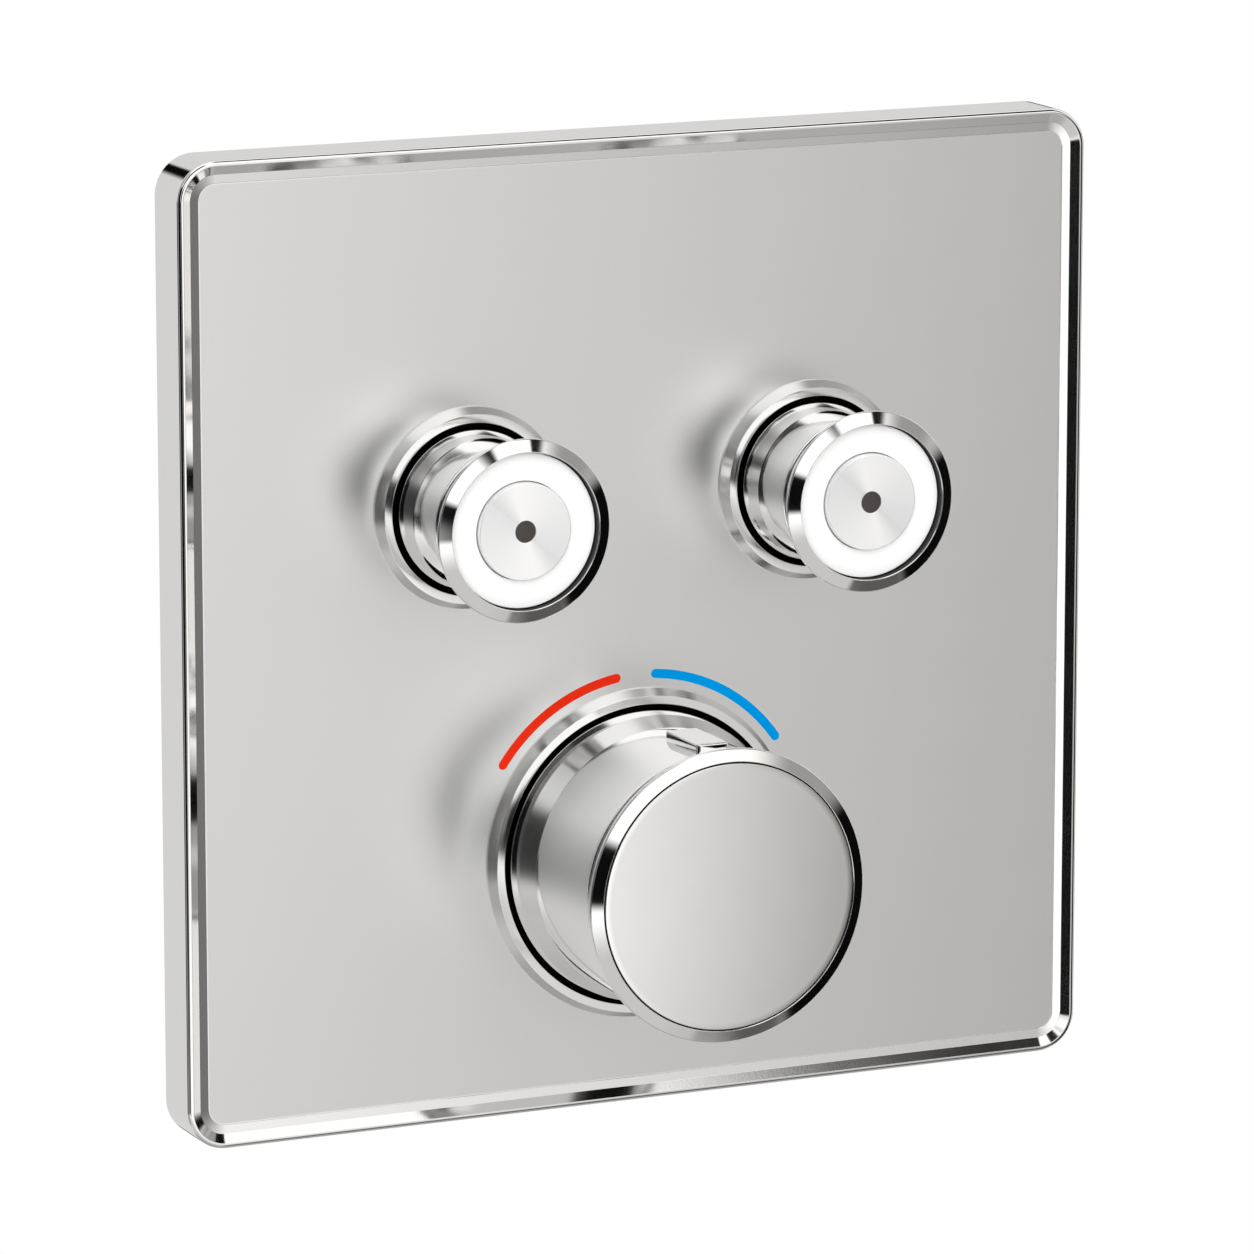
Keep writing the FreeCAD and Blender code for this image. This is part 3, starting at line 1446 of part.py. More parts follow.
# ---------------------------------------------------------------- build, check, write
make_faceplate()
make_gasket()
make_carrier()
make_carrier_screws()
make_sleeves()
make_knob_shell()
make_knob_cap()
make_knob_adapter()
make_knob_screw()
make_stop_button()
make_buttons()
make_valve_body()
make_gallery_plugs()
make_fixing_screws()
make_nipples()
make_check_valves()
make_thermostat()
make_push_cartridges()
doc.recompute()

broken = [o.Name for o in doc.Objects if "Invalid" in o.State or "Error" in o.State]
for node in NODES:
    if node.Shape.isNull() or not node.Shape.isValid() or not node.Shape.Solids:
        broken.append(node.Label)
if broken:
    raise RuntimeError("these did not build: " + ", ".join(broken))

os.makedirs("parts", exist_ok=True)
for node in NODES:
    node.Shape.exportStep("parts/%s.step" % node.Label)
print("%d nodes, %d solids" % (len(NODES), sum(len(n.Shape.Solids) for n in NODES)))
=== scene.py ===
"""Looks of a concealed thermostatic shower valve: wall plate, temperature knob, two push-and-turn
buttons and the valve unit behind them.

Frame: X to the right and Z up as seen from the room, Y into the wall, origin in the middle of the wall
plate's back. Lengths are metres. "Out" below is a distance from the wall plane towards the room.
"""
import json
import math

import bmesh
import bpy
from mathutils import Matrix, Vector


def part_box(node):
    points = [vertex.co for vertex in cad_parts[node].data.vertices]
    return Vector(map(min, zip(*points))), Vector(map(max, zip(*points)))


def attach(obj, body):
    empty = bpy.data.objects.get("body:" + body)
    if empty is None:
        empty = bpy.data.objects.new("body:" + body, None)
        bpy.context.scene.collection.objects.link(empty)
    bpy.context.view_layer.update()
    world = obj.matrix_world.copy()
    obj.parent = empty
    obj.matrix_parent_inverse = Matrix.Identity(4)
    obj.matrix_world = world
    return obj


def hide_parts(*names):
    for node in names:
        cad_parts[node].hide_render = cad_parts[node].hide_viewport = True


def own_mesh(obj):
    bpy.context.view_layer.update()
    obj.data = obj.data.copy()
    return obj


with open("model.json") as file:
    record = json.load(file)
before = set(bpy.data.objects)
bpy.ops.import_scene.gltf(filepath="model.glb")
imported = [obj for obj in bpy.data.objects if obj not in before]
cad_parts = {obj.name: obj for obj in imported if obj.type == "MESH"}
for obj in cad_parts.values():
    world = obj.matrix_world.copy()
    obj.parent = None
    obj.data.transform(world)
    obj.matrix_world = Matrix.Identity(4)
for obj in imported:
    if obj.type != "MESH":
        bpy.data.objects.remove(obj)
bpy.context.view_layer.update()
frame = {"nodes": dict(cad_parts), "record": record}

# ---------------------------------------------------------------- sizes
SEGMENTS = 256                # sides of a turned piece
CENTRE_SEGMENTS = 64          # sides of a disc's small centre
FINE_STEP = math.radians(12)  # one step of a rounded corner
SMOOTH_TURN = math.radians(9)  # a corner that turns less than this isn't rounded
CORNER_SHARE = 0.45           # most of a side that the rounding of one corner takes
SOFT_EDGE = 0.00012           # rounding of turned edges
CREASE = math.radians(28)     # edges sharper than this stay hard
QUARTER_TURN = math.pi / 2


def middle(node):
    """X and Z of the middle of a CAD node, which is its axis where it is turned."""
    low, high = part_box(node)
    return (low.x + high.x) / 2, (low.z + high.z) / 2


def half_width(node):
    low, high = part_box(node)
    return (high.x - low.x) / 2


def out(node):
    """How far a CAD node reaches out of the wall, rear and front."""
    low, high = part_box(node)
    return -high.y, -low.y


KNOB_AXIS = middle("knob_cap")
BUTTON_AXES = {side: middle(side + "_disc") for side in ("left", "right")}

PLATE_HALF = half_width("faceplate")
PLATE_FRONT = out("faceplate")[1]
PLATE_CORNER = 0.0065
PLATE_EDGE = 0.0007
PLATE_EDGE_STEPS = 12
CORNER_STEPS = 14
LEAST_CORNER = 0.0004
RIM_CREST = 0.0009
RIM_CREST_SOFT = 0.00008
RIM_SLOPE = 0.0014
RIM_SLOPE_SOFT = 0.00012
RIM_DROP = 0.00085
RIM_LEDGE = 0.0014
RIM_LEDGE_FALL = 0.00014      # the ledge leans inwards by this much
RIM_LEDGE_SOFT = 0.00005
RIM_FOOT_SOFT = 0.00004
RIM_FOOT = 0.0002             # polished strip between the rim and the satin panel
RIM_WALL = 0.002
PANEL_MARGIN = 0.002          # flat strip round the panel before its triangles begin
PANEL_FRONT = PLATE_FRONT - 0.001
PANEL_BACK = PANEL_FRONT - 0.002
HOLE_CLEARANCE = 0.00025

SLEEVE_WALL = 0.00065
SLEEVE_FLANGE = 0.001
SLEEVE_FLANGE_EDGE = 0.00035
SLEEVE_SOFT = 0.00005
SLEEVE_FRONT_SOFT = 0.0001
SLEEVE_CHROME_DEPTH = 0.0045        # how deep from its front the bore stays chrome; further in it is painted near-black as painted shade
ON_SURFACE = 0.00003          # a point nearer than this is on the surface

ARC_RADIUS = 0.0294
ARC_WIDTH = 0.0015
ARC_HEIGHT = 0.00005
ARC_STEPS = 48
ARC_END_STEPS = 8
RED_ARC = (-57.0, -7.0)       # degrees from 12 o'clock
BLUE_ARC = (3.5, 56.0)


# ---------------------------------------------------------------- shader building
class Field:
    """A shader value; arithmetic on it adds the Math nodes."""

    def __init__(self, recipe, socket):
        self.recipe = recipe
        self.socket = socket

    def _math(self, operation, first, second):
        return self.recipe.node("Math", {0: first, 1: second}, operation=operation)

    def __add__(self, other):
        return self._math("ADD", self, other)

    __radd__ = __add__

    def __sub__(self, other):
        return self._math("SUBTRACT", self, other)

    def __rsub__(self, other):
        return self._math("SUBTRACT", other, self)

    def __mul__(self, other):
        return self._math("MULTIPLY", self, other)

    __rmul__ = __mul__

    def __truediv__(self, other):
        return self._math("DIVIDE", self, other)

    def output(self, name):
        """Another output of the node that this value comes from."""
        return Field(self.recipe, self.socket.node.outputs[name])

    def colour(self):
        """The colour that a Mix node gives."""
        return self.output(2)


class Recipe:
    """The nodes of one material or of the world."""

    def __init__(self, owner):
        owner.use_nodes = True
        self.tree = owner.node_tree
        self.tree.nodes.clear()

    def node(self, kind, sockets=None, stops=None, **settings):
        """One node: its settings and ramp stops first, then a value or a link for each socket."""
        made = self.tree.nodes.new("ShaderNode" + kind)
        for name, value in settings.items():
            setattr(made, name, value)
        if stops:
            ramp = made.color_ramp
            while len(ramp.elements) < len(stops):
                ramp.elements.new(1.0)
            for element, (position, colour) in zip(ramp.elements, stops):
                element.position = position
                element.color = colour
        for name, value in (sockets or {}).items():
            if isinstance(value, Field):
                self.tree.links.new(value.socket, made.inputs[name])
            else:
                made.inputs[name].default_value = value
        return Field(self, made.outputs[0]) if made.outputs else made

    def place(self):
        return self.node("TexCoord").output("Object")

    def noise(self, scale, detail=3.0, stretch=None, roughness=0.5):
        """Even noise from 0 to 1 over the object's own place, scale per metre."""
        where = self.place()
        if stretch:
            where = self.node("Mapping", {"Vector": where, "Scale": stretch})
        return self.node("TexNoise", {"Vector": where, "Scale": scale, "Detail": detail,
                                      "Roughness": roughness})

    def step(self, value, low, high):
        """0 below low, 1 above high and a smooth rise between them."""
        return self.node("MapRange", {"Value": value, "From Min": low, "From Max": high},
                         interpolation_type="SMOOTHSTEP")

    def mix(self, factor, first, second):
        """A colour between two."""
        return self.node("Mix", {0: factor, 6: first, 7: second}, data_type="RGBA").colour()

    def bump(self, height, strength, distance):
        return self.node("Bump", {"Height": height, "Strength": strength, "Distance": distance})


def rgb(red, green, blue):
    """A screen colour of 0 to 255 as the linear colour that shaders take."""
    def linear(c):
        c /= 255.0
        return c / 12.92 if c <= 0.04045 else ((c + 0.055) / 1.055) ** 2.4
    return linear(red), linear(green), linear(blue), 1.0


def principled(name, build, **constants):
    """A material from a function that returns its varying sockets, and constants by socket name."""
    material = bpy.data.materials.new(name)
    recipe = Recipe(material)
    sockets = {key.replace("_", " "): value for key, value in constants.items()}
    sockets.update(build(recipe))
    shader = recipe.node("BsdfPrincipled", sockets)
    recipe.node("OutputMaterial", {"Surface": shader})
    return material


# ---------------------------------------------------------------- materials
def polished_chrome():
    def build(recipe):
        cloud = recipe.noise(160.0, 4.0)
        ripple = recipe.noise(55.0, 2.0)
        return {
            "Base Color": recipe.mix(cloud, (0.885, 0.884, 0.88, 1), (0.925, 0.924, 0.92, 1)),
            "Roughness": 0.035 + 0.03 * cloud,
            "Normal": recipe.bump(ripple, 0.08, 0.00004),
        }
    return principled("polished_chrome", build, Metallic=1.0)


def satin_chrome(name, roughness):
    def build(recipe):
        cloud = recipe.noise(120.0, 4.0)
        grain = recipe.noise(2600.0, 2.0)
        return {
            "Base Color": recipe.mix(cloud, (0.885, 0.884, 0.88, 1), (0.915, 0.914, 0.91, 1)),
            "Roughness": roughness + 0.03 * (cloud - 0.5),
            "Normal": recipe.bump(grain, 0.05, 0.00002),
        }
    return principled(name, build, Metallic=1.0)


def white_gloss():
    def build(recipe):
        cloud = recipe.noise(140.0, 3.0)
        return {
            "Base Color": recipe.mix(cloud, (0.93, 0.93, 0.93, 1), (0.95, 0.95, 0.95, 1)),
            "Roughness": 0.16 + 0.06 * cloud,
            "Normal": recipe.bump(recipe.noise(900.0), 0.05, 0.00002),
        }
    return principled("white_face", build, Coat_Weight=0.5, Coat_Roughness=0.05)


PAINTED_GLINT_START = 0.28             # where the two painted highlight sectors begin, in half turns
PAINTED_GLINT_RISE = 0.22              # how soon they reach their full brightness
PAINTED_GLINT_PEAK = 1.15              # brightness of a painted highlight sector where it starts to fade
SPUN_LINES = 24000.0          # turned lines per metre


def spun_metal(name, axis):
    """Metal turned in fine circles about its own axis, with two bright sectors painted into its colour as a
    painted highlight.
    """
    def build(recipe):
        spread = recipe.node("VectorMath", {0: recipe.place(), 1: (axis[0], 0.0, axis[1])},
                             operation="SUBTRACT")
        flat = recipe.node("VectorMath", {0: spread, 1: (1.0, 0.0, 1.0)}, operation="MULTIPLY")
        radius = recipe.node("VectorMath", {0: flat}, operation="LENGTH").output("Value")
        lines = recipe.node("TexNoise", {"W": radius * SPUN_LINES, "Scale": 1.0, "Detail": 3.0},
                            noise_dimensions="1D")
        axes = recipe.node("SeparateXYZ", {0: flat})
        around = recipe.node("Math", {0: axes, 1: axes.output("Z")}, operation="ARCTAN2")
        # Painted highlight: two bright sectors by angle round the axis, mixed into the base colour.
        turn = recipe.node("Math", {0: around / math.pi + PAINTED_GLINT_START}, operation="FRACT")
        rise = recipe.step(turn, 0.0, PAINTED_GLINT_RISE)
        painted_glint = rise * (PAINTED_GLINT_PEAK - turn)
        dull = recipe.mix(lines, (0.745, 0.745, 0.755, 1), (0.765, 0.765, 0.775, 1))
        bright = recipe.mix(lines, (0.98, 0.98, 0.98, 1), (1.0, 1.0, 1.0, 1))
        return {
            "Base Color": recipe.mix(painted_glint, dull, bright),
            "Roughness": 0.24 + 0.03 * lines,
            "Normal": recipe.bump(lines, 0.08, 0.00002),
        }
    return principled(name, build, Metallic=0.45)


def plain_finish(name, dark, light, roughness, scale, bump_height, metallic=0.0, **constants):
    """A finish whose tone, gloss and surface all follow one even noise."""
    def build(recipe):
        cloud = recipe.noise(scale, 5.0)
        return {
            "Base Color": recipe.mix(cloud, dark, light),
            "Roughness": roughness + 0.12 * (cloud - 0.5),
            "Normal": recipe.bump(cloud, 0.5, bump_height),
        }
    return principled(name, build, Metallic=metallic, **constants)


MATERIALS = {
    "polished_chrome": polished_chrome(),
    "satin_chrome": satin_chrome("satin_chrome", 0.31),
    "sleeve_chrome": satin_chrome("sleeve_chrome", 0.13),
    "rim_chrome": satin_chrome("rim_chrome", 0.08),
    "white_face": white_gloss(),
    "left_spun_metal": spun_metal("left_spun_metal", BUTTON_AXES["left"]),
    "right_spun_metal": spun_metal("right_spun_metal", BUTTON_AXES["right"]),
    "valve_brass": plain_finish("valve_brass", rgb(150, 122, 66), rgb(196, 166, 104), 0.42, 420.0,
                                0.0002, 1.0),
    "machined_brass": plain_finish("machined_brass", rgb(186, 152, 84), rgb(222, 190, 120), 0.24,
                                   900.0, 0.00003, 1.0),
    "stainless": plain_finish("stainless", rgb(168, 168, 170), rgb(204, 204, 206), 0.28, 900.0,
                              0.00003, 1.0),
    "black_rubber": plain_finish("black_rubber", rgb(22, 22, 23), rgb(40, 40, 41), 0.7, 1500.0,
                                 0.00004),
    "grey_foam": plain_finish("grey_foam", rgb(52, 53, 56), rgb(92, 93, 97), 0.9, 1800.0, 0.0003),
    "black_plastic": plain_finish("black_plastic", rgb(26, 26, 28), rgb(42, 42, 45), 0.45, 1600.0,
                                  0.00003),
    "white_plastic": plain_finish("white_plastic", rgb(214, 214, 208), rgb(236, 236, 230), 0.4,
                                  1200.0, 0.00003),
    "grey_plastic": plain_finish("grey_plastic", rgb(98, 100, 103), rgb(128, 130, 133), 0.5,
                                 1200.0, 0.00004),
    "copper": plain_finish("copper", rgb(176, 104, 72), rgb(214, 138, 100), 0.3, 900.0, 0.00003,
                           1.0),
    "red_print": plain_finish("red_print", rgb(224, 42, 18), rgb(238, 52, 26), 0.6, 1500.0, 0.00001,
                              Specular_IOR_Level=0.0),
    "blue_print": plain_finish("blue_print", rgb(0, 138, 212), rgb(0, 150, 224), 0.6, 1500.0, 0.00001,
                               Specular_IOR_Level=0.0),
    # Painted shade: brass darkened for the nuts at the bottom of the grooves, where shade falls.
    "brass_painted_shade": plain_finish("brass_painted_shade", rgb(30, 26, 20), rgb(44, 38, 28), 0.6, 900.0,
                                 0.00003),
    # Painted shade: near-black paint for deep bores and control mouths, where the light hardly reaches.
    "bore_painted_shade": plain_finish("bore_painted_shade", rgb(14, 14, 14), rgb(24, 24, 23), 0.6, 1500.0, 0.00002),
    "dark_centre": plain_finish("dark_centre", rgb(52, 48, 45), rgb(68, 62, 58), 0.35, 1500.0,
                                0.00002),
}


# ---------------------------------------------------------------- mesh building
def arc(start, end, radius, steps):
    """Points from start to end along the short arc whose centre lies on the left of the way."""
    start, end = Vector(start), Vector(end)
    chord = end - start
    left = Vector((-chord.y, chord.x)).normalized()
    half = chord.length / 2
    centre = (start + end) / 2 + left * math.sqrt(radius * radius - half * half)
    first = math.atan2(start.y - centre.y, start.x - centre.x)
    sweep = 2 * math.asin(half / radius)
    return [
        (centre.x + radius * math.cos(first + sweep * i / steps),
         centre.y + radius * math.sin(first + sweep * i / steps))
        for i in range(steps + 1)
    ]


def softened(points, radius=SOFT_EDGE, closed=True):
    """The outline with each sharp corner off the axis rounded, by the corner's own radius where it
    has a third number."""
    result = []
    count = len(points)
    for i, point in enumerate(points):
        here = Vector(point[:2])
        before, after = Vector(points[i - 1][:2]), Vector(points[(i + 1) % count][:2])
        if here.x == 0 or (not closed and i in (0, count - 1)):
            result.append((here.x, here.y))
            continue
        arriving, leaving = (here - before), (after - here)
        turn = arriving.angle(leaving)
        if turn < SMOOTH_TURN:
            result.append((here.x, here.y))
            continue
        wanted = point[2] if len(point) == 3 else radius
        room = CORNER_SHARE * min(arriving.length, leaving.length)
        reach = min(wanted * math.tan(turn / 2), room)
        first = here - arriving.normalized() * reach
        last = here + leaving.normalized() * reach
        steps = max(2, round(turn / FINE_STEP))
        for k in range(steps + 1):
            t = k / steps
            spot = first * (1 - t) ** 2 + here * 2 * t * (1 - t) + last * t * t
            result.append((spot.x, spot.y))
    return result


def mesh_object(name, vertices, faces, materials, face_materials=None):
    """A closed, smooth-shaded mesh object whose faces point outwards."""
    mesh = bpy.data.meshes.new(name)
    mesh.from_pydata(vertices, [], faces)
    for material in materials:
        mesh.materials.append(MATERIALS[material])
    if face_materials:
        mesh.polygons.foreach_set("material_index", face_materials)
    return finished(name, mesh)


def finished(name, mesh):
    """Links a mesh as a piece: faces outwards and smooth, hard edges at its creases, and normals that
    follow the larger faces."""
    work = bmesh.new()
    work.from_mesh(mesh)
    bmesh.ops.recalc_face_normals(work, faces=work.faces)
    for face in work.faces:
        face.smooth = True
    for edge in work.edges:
        edge.smooth = edge.calc_face_angle(math.pi) < CREASE
    work.to_mesh(mesh)
    work.free()
    piece = bpy.data.objects.new(name, mesh)
    bpy.context.scene.collection.objects.link(piece)
    weighted = piece.modifiers.new("face_normals", "WEIGHTED_NORMAL")
    weighted.weight = 100
    weighted.keep_sharp = True
    return piece


def turned(name, outline, axis, material, segments=SEGMENTS, painted_shade_inside=None):
    """A closed body of revolution about the Y line through axis, from (radius, out) points. The faces that
    the given picker chooses by their middle radius and place out of the wall are painted near-black, as
    painted shade."""
    vertices, faces, rings = [], [], []
    for radius, reach in outline:
        if radius == 0:
            rings.append([len(vertices)])
            vertices.append((axis[0], -reach, axis[1]))
            continue
        rings.append(list(range(len(vertices), len(vertices) + segments)))
        for i in range(segments):
            angle = 2 * math.pi * i / segments
            vertices.append((axis[0] + radius * math.sin(angle), -reach,
                             axis[1] + radius * math.cos(angle)))
    finish = []
    spans = list(zip(outline, outline[1:] + outline[:1]))
    for (ring, other), (here, there) in zip(zip(rings, rings[1:] + rings[:1]), spans):
        if len(ring) == 1 and len(other) == 1:
            continue
        dark = painted_shade_inside and painted_shade_inside((here[0] + there[0]) / 2, (here[1] + there[1]) / 2)
        finish += [1 if dark else 0] * segments
        for i in range(segments):
            j = (i + 1) % segments
            corners = [ring[i % len(ring)], ring[j % len(ring)], other[j % len(other)],
                       other[i % len(other)]]
            faces.append(tuple(dict.fromkeys(corners)))
    materials = [material] + (["bore_painted_shade"] if painted_shade_inside else [])
    return mesh_object(name, vertices, faces, materials, finish)


def rounded_square(half, corner):
    """X and Z of a square ring with rounded corners."""
    inner = half - corner
    points = []
    for quarter in range(4):
        turn = QUARTER_TURN * quarter
        x = inner * (math.cos(turn) - math.sin(turn))
        z = inner * (math.sin(turn) + math.cos(turn))
        for i in range(CORNER_STEPS + 1):
            angle = turn + QUARTER_TURN * i / CORNER_STEPS
            points.append((x + corner * math.cos(angle), z + corner * math.sin(angle)))
    return points


def circle(axis, radius):
    """X and Z of a ring of points."""
    angles = [2 * math.pi * i / SEGMENTS for i in range(SEGMENTS)]
    return [(axis[0] + radius * math.sin(a), axis[1] + radius * math.cos(a)) for a in angles]


def holed_face(work, loops, material_index):
    """Fills the flat face between an outer loop of vertices and the loops of its holes."""
    edges = []
    for loop in loops:
        for a, b in zip(loop, loop[1:] + loop[:1]):
            edges.append(work.edges.get((a, b)) or work.edges.new((a, b)))
    filled = bmesh.ops.triangle_fill(work, use_beauty=True, use_dissolve=False, edges=edges)
    for item in filled["geom"]:
        if isinstance(item, bmesh.types.BMFace):
            item.material_index = material_index


def prism_faces(count):
    """Faces of a prism whose two ends have count vertices each."""
    sides = [(i, (i + 1) % count, count + (i + 1) % count, count + i) for i in range(count)]
    return [tuple(range(count)), tuple(range(count, 2 * count))] + sides


def ring_of(work, points, reach):
    """Vertices at the given X and Z, at one distance out of the wall."""
    return [work.verts.new((x, -reach, z)) for x, z in points]


def join_rings(work, first, second, material_index=0):
    """Faces between two rings of as many vertices."""
    count = len(first)
    for i in range(count):
        j = (i + 1) % count
        face = work.faces.new((first[i], first[j], second[j], second[i]))
        face.material_index = material_index


# ---------------------------------------------------------------- wall plate
def rim_section():
    """Inset and reach of the rim, from the plate's back edge over the crest down to the panel."""
    slope_end = RIM_CREST + RIM_SLOPE
    panel_inset = slope_end + RIM_LEDGE
    ledge = PLATE_FRONT - RIM_DROP
    edge = arc((PLATE_EDGE, PLATE_FRONT), (0.0, PLATE_FRONT - PLATE_EDGE), PLATE_EDGE, PLATE_EDGE_STEPS)
    section = softened([(0.0, 0.0)] + edge[::-1] + [
        (RIM_CREST, PLATE_FRONT, RIM_CREST_SOFT),
        (slope_end, ledge + RIM_LEDGE_FALL / 2, RIM_SLOPE_SOFT),
        (panel_inset, ledge - RIM_LEDGE_FALL / 2, RIM_LEDGE_SOFT),
        (panel_inset, PANEL_FRONT, RIM_FOOT_SOFT),
        (panel_inset + RIM_FOOT, PANEL_FRONT),
    ], closed=False)
    return section + [(panel_inset + PANEL_MARGIN, PANEL_FRONT)]


PLATE_FINISHES = ["polished_chrome", "satin_chrome", "rim_chrome"]
POLISHED, SATIN, RIM = range(len(PLATE_FINISHES))


def make_plate():
    section = rim_section()
    rear = [(RIM_WALL, PANEL_BACK), (RIM_WALL, 0.0)]
    work = bmesh.new()
    rings = []
    for inset, reach in section + rear:
        corner = max(PLATE_CORNER - inset, LEAST_CORNER)
        rings.append(ring_of(work, rounded_square(PLATE_HALF - inset, corner), reach))
    front_rings = rings[:len(section)]
    for k in range(1, len(section)):
        if k == len(section) - 1:
            finish = SATIN
        else:
            finish = RIM if section[k][0] > RIM_CREST else POLISHED
        join_rings(work, front_rings[k - 1], front_rings[k], finish)
    join_rings(work, rings[-2], rings[-1])
    join_rings(work, rings[-1], rings[0])
    holes = [(KNOB_AXIS, half_width("temperature_sleeve"))]
    holes += [(axis, half_width(side + "_sleeve")) for side, axis in BUTTON_AXES.items()]
    fronts, backs = [], []
    for axis, flange in holes:
        radius = flange - SLEEVE_FLANGE + HOLE_CLEARANCE
        fronts.append(ring_of(work, circle(axis, radius), PANEL_FRONT))
        backs.append(ring_of(work, circle(axis, radius), PANEL_BACK))
        join_rings(work, fronts[-1], backs[-1])
    holed_face(work, [front_rings[-1]] + fronts, SATIN)
    holed_face(work, [rings[-2]] + backs, POLISHED)
    mesh = bpy.data.meshes.new("faceplate_chrome")
    work.to_mesh(mesh)
    work.free()
    for finish in PLATE_FINISHES:
        mesh.materials.append(MATERIALS[finish])
    settle(finished("faceplate_chrome", mesh), "root", "polished_chrome", "faceplate")


def settle(piece, body, slot, *nodes):
    """Puts a finished piece on its body, in place of its CAD nodes."""
    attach(piece, body)
    if nodes:
        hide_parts(*nodes)
    return piece


def stroke_outline(start, end):
    """X and Z, from the knob's axis, of a stroke of even width with round ends."""
    half = ARC_WIDTH / 2
    first = math.radians(start) + half / ARC_RADIUS
    last = math.radians(end) - half / ARC_RADIUS

    def run(radius, begin, finish):
        return [(radius, begin + (finish - begin) * i / ARC_STEPS) for i in range(ARC_STEPS + 1)]

    def round_end(angle, way):
        turns = [math.pi * i / ARC_END_STEPS for i in range(1, ARC_END_STEPS)]
        return [(ARC_RADIUS + way * half * math.cos(turn),
                 angle + way * half * math.sin(turn) / ARC_RADIUS) for turn in turns]

    polar = run(ARC_RADIUS + half, first, last) + round_end(last, 1)
    polar += run(ARC_RADIUS - half, last, first) + round_end(first, -1)
    return [(radius * math.sin(angle), radius * math.cos(angle)) for radius, angle in polar]


def make_arc(name, material, start, end):
    """A printed stroke on the panel round the knob."""
    outline = stroke_outline(start, end)
    count = len(outline)
    vertices = [(KNOB_AXIS[0] + x, -reach, KNOB_AXIS[1] + z)
                for reach in (PANEL_FRONT, PANEL_FRONT + ARC_HEIGHT) for x, z in outline]
    stroke = settle(mesh_object(name, vertices, prism_faces(count), [material]), "root",
                    "polished_chrome")
    stroke.visible_glossy = False


# ---------------------------------------------------------------- sleeves
KNOB_LIP = 0.0007             # how far a sleeve's front edge turns in
BUTTON_LIP = 0.0007


def make_sleeve(node, axis, lip):
    """A flanged sleeve on the panel, its front edge turned in round the control."""
    rear, front = out(node)
    tube = half_width(node) - SLEEVE_FLANGE
    bore = tube - SLEEVE_WALL
    outline = softened([
        (bore, rear),
        (tube, rear),
        (tube, PANEL_FRONT),
        (tube + SLEEVE_FLANGE, PANEL_FRONT),
        (tube + SLEEVE_FLANGE, PANEL_FRONT + SLEEVE_FLANGE_EDGE, SLEEVE_FRONT_SOFT),
        (tube, front, SLEEVE_FRONT_SOFT),
        (bore - lip, front, SLEEVE_FRONT_SOFT),
        (bore - lip, front - lip, SLEEVE_FRONT_SOFT),
        (bore, front - 2 * lip),
    ], SLEEVE_SOFT)

    # The bore deeper in than the chrome depth is painted near-black as painted shade.
    def deep_in_bore(radius, reach):
        return radius < bore + ON_SURFACE and reach < front - SLEEVE_CHROME_DEPTH

    sleeve = turned(node + "_chrome", outline, axis, "sleeve_chrome", painted_shade_inside=deep_in_bore)
    settle(sleeve, "root", "polished_chrome", node)


# ---------------------------------------------------------------- knob and buttons
KNOB_FORM = {
    "rear_round": 0.000275, "band_front": 0.0139, "band_radius": 0.0236, "neck_rear": 0.0174,
    "neck_radius": 0.0222, "waist": 0.0002, "neck_front": 0.0360, "flare_front": 0.0409,
    "flare_radius": 0.0235, "rim_rear": 0.0412, "rim_radius": 0.02375, "rim_front": 0.04195,
    "mouth_radius": 0.0217, "floor": 0.0409, "inner_radius": 0.0200, "skirt_radius": 0.0220,
    "web": 0.0374,
}
BUTTON_FORM = {
    "rear_round": 0.000275, "band_front": 0.0128, "band_radius": 0.0128, "neck_rear": 0.0150,
    "neck_radius": 0.0121, "waist": 0.0001, "neck_front": 0.0230, "flare_front": 0.0302,
    "flare_radius": 0.0143, "rim_rear": 0.0305, "rim_radius": 0.0146, "rim_front": 0.03095,
    "mouth_radius": 0.0125, "floor": 0.0290, "inner_radius": 0.0102, "skirt_radius": 0.0114,
    "web": 0.0265,
}
REAR_RADII = {"knob": 0.0243, "button": 0.0133}
BAND_SOFT = 0.0001
RIM_REAR_SOFT = 0.0002
RIM_FRONT_SOFT = 0.00025
MOUTH_CHAMFER = 0.0001
MOUTH_SOFT = 0.00008
NECK_STEPS = 12
FLARE_STEPS = 16
KNOB_SKIRT_DEPTH = 0.002      # chamfer between a control's skirt and its inside
BUTTON_SKIRT_DEPTH = 0.0012
CAP_CROWN = 0.00024
CAP_SOFT = 0.00014
CAP_STEPS = 24


def waisted(f, rear_radius, rear, front):
    """Outline of a control of form f: two bands, a waisted neck, a flare, a rim and a front cone."""
    neck = f["neck_front"] - f["neck_rear"]
    waist_radius = (neck * neck / 4 + f["waist"] ** 2) / (2 * f["waist"])
    rise = f["flare_radius"] - f["neck_radius"]
    run = f["flare_front"] - f["neck_front"]
    flare_radius = (run * run + rise * rise) / (2 * rise)
    neck_line = arc((f["neck_radius"], f["neck_front"]), (f["neck_radius"], f["neck_rear"]),
                    waist_radius, NECK_STEPS)[::-1]
    flare_line = arc((f["flare_radius"], f["flare_front"]), (f["neck_radius"], f["neck_front"]),
                     flare_radius, FLARE_STEPS)[::-1]
    points = [
        (f["skirt_radius"], rear),
        (rear_radius, rear, f["rear_round"]),
        (f["band_radius"], f["band_front"], BAND_SOFT),
    ]
    points += neck_line[:-1] + flare_line
    points += [
        (f["rim_radius"], f["rim_rear"], RIM_REAR_SOFT),
        (f["rim_radius"], f["rim_front"], RIM_FRONT_SOFT),
        (f["mouth_radius"] + MOUTH_CHAMFER, front, MOUTH_SOFT),
        (f["mouth_radius"], front - MOUTH_CHAMFER, MOUTH_SOFT),
        (f["mouth_radius"], f["floor"]),
    ]
    return points


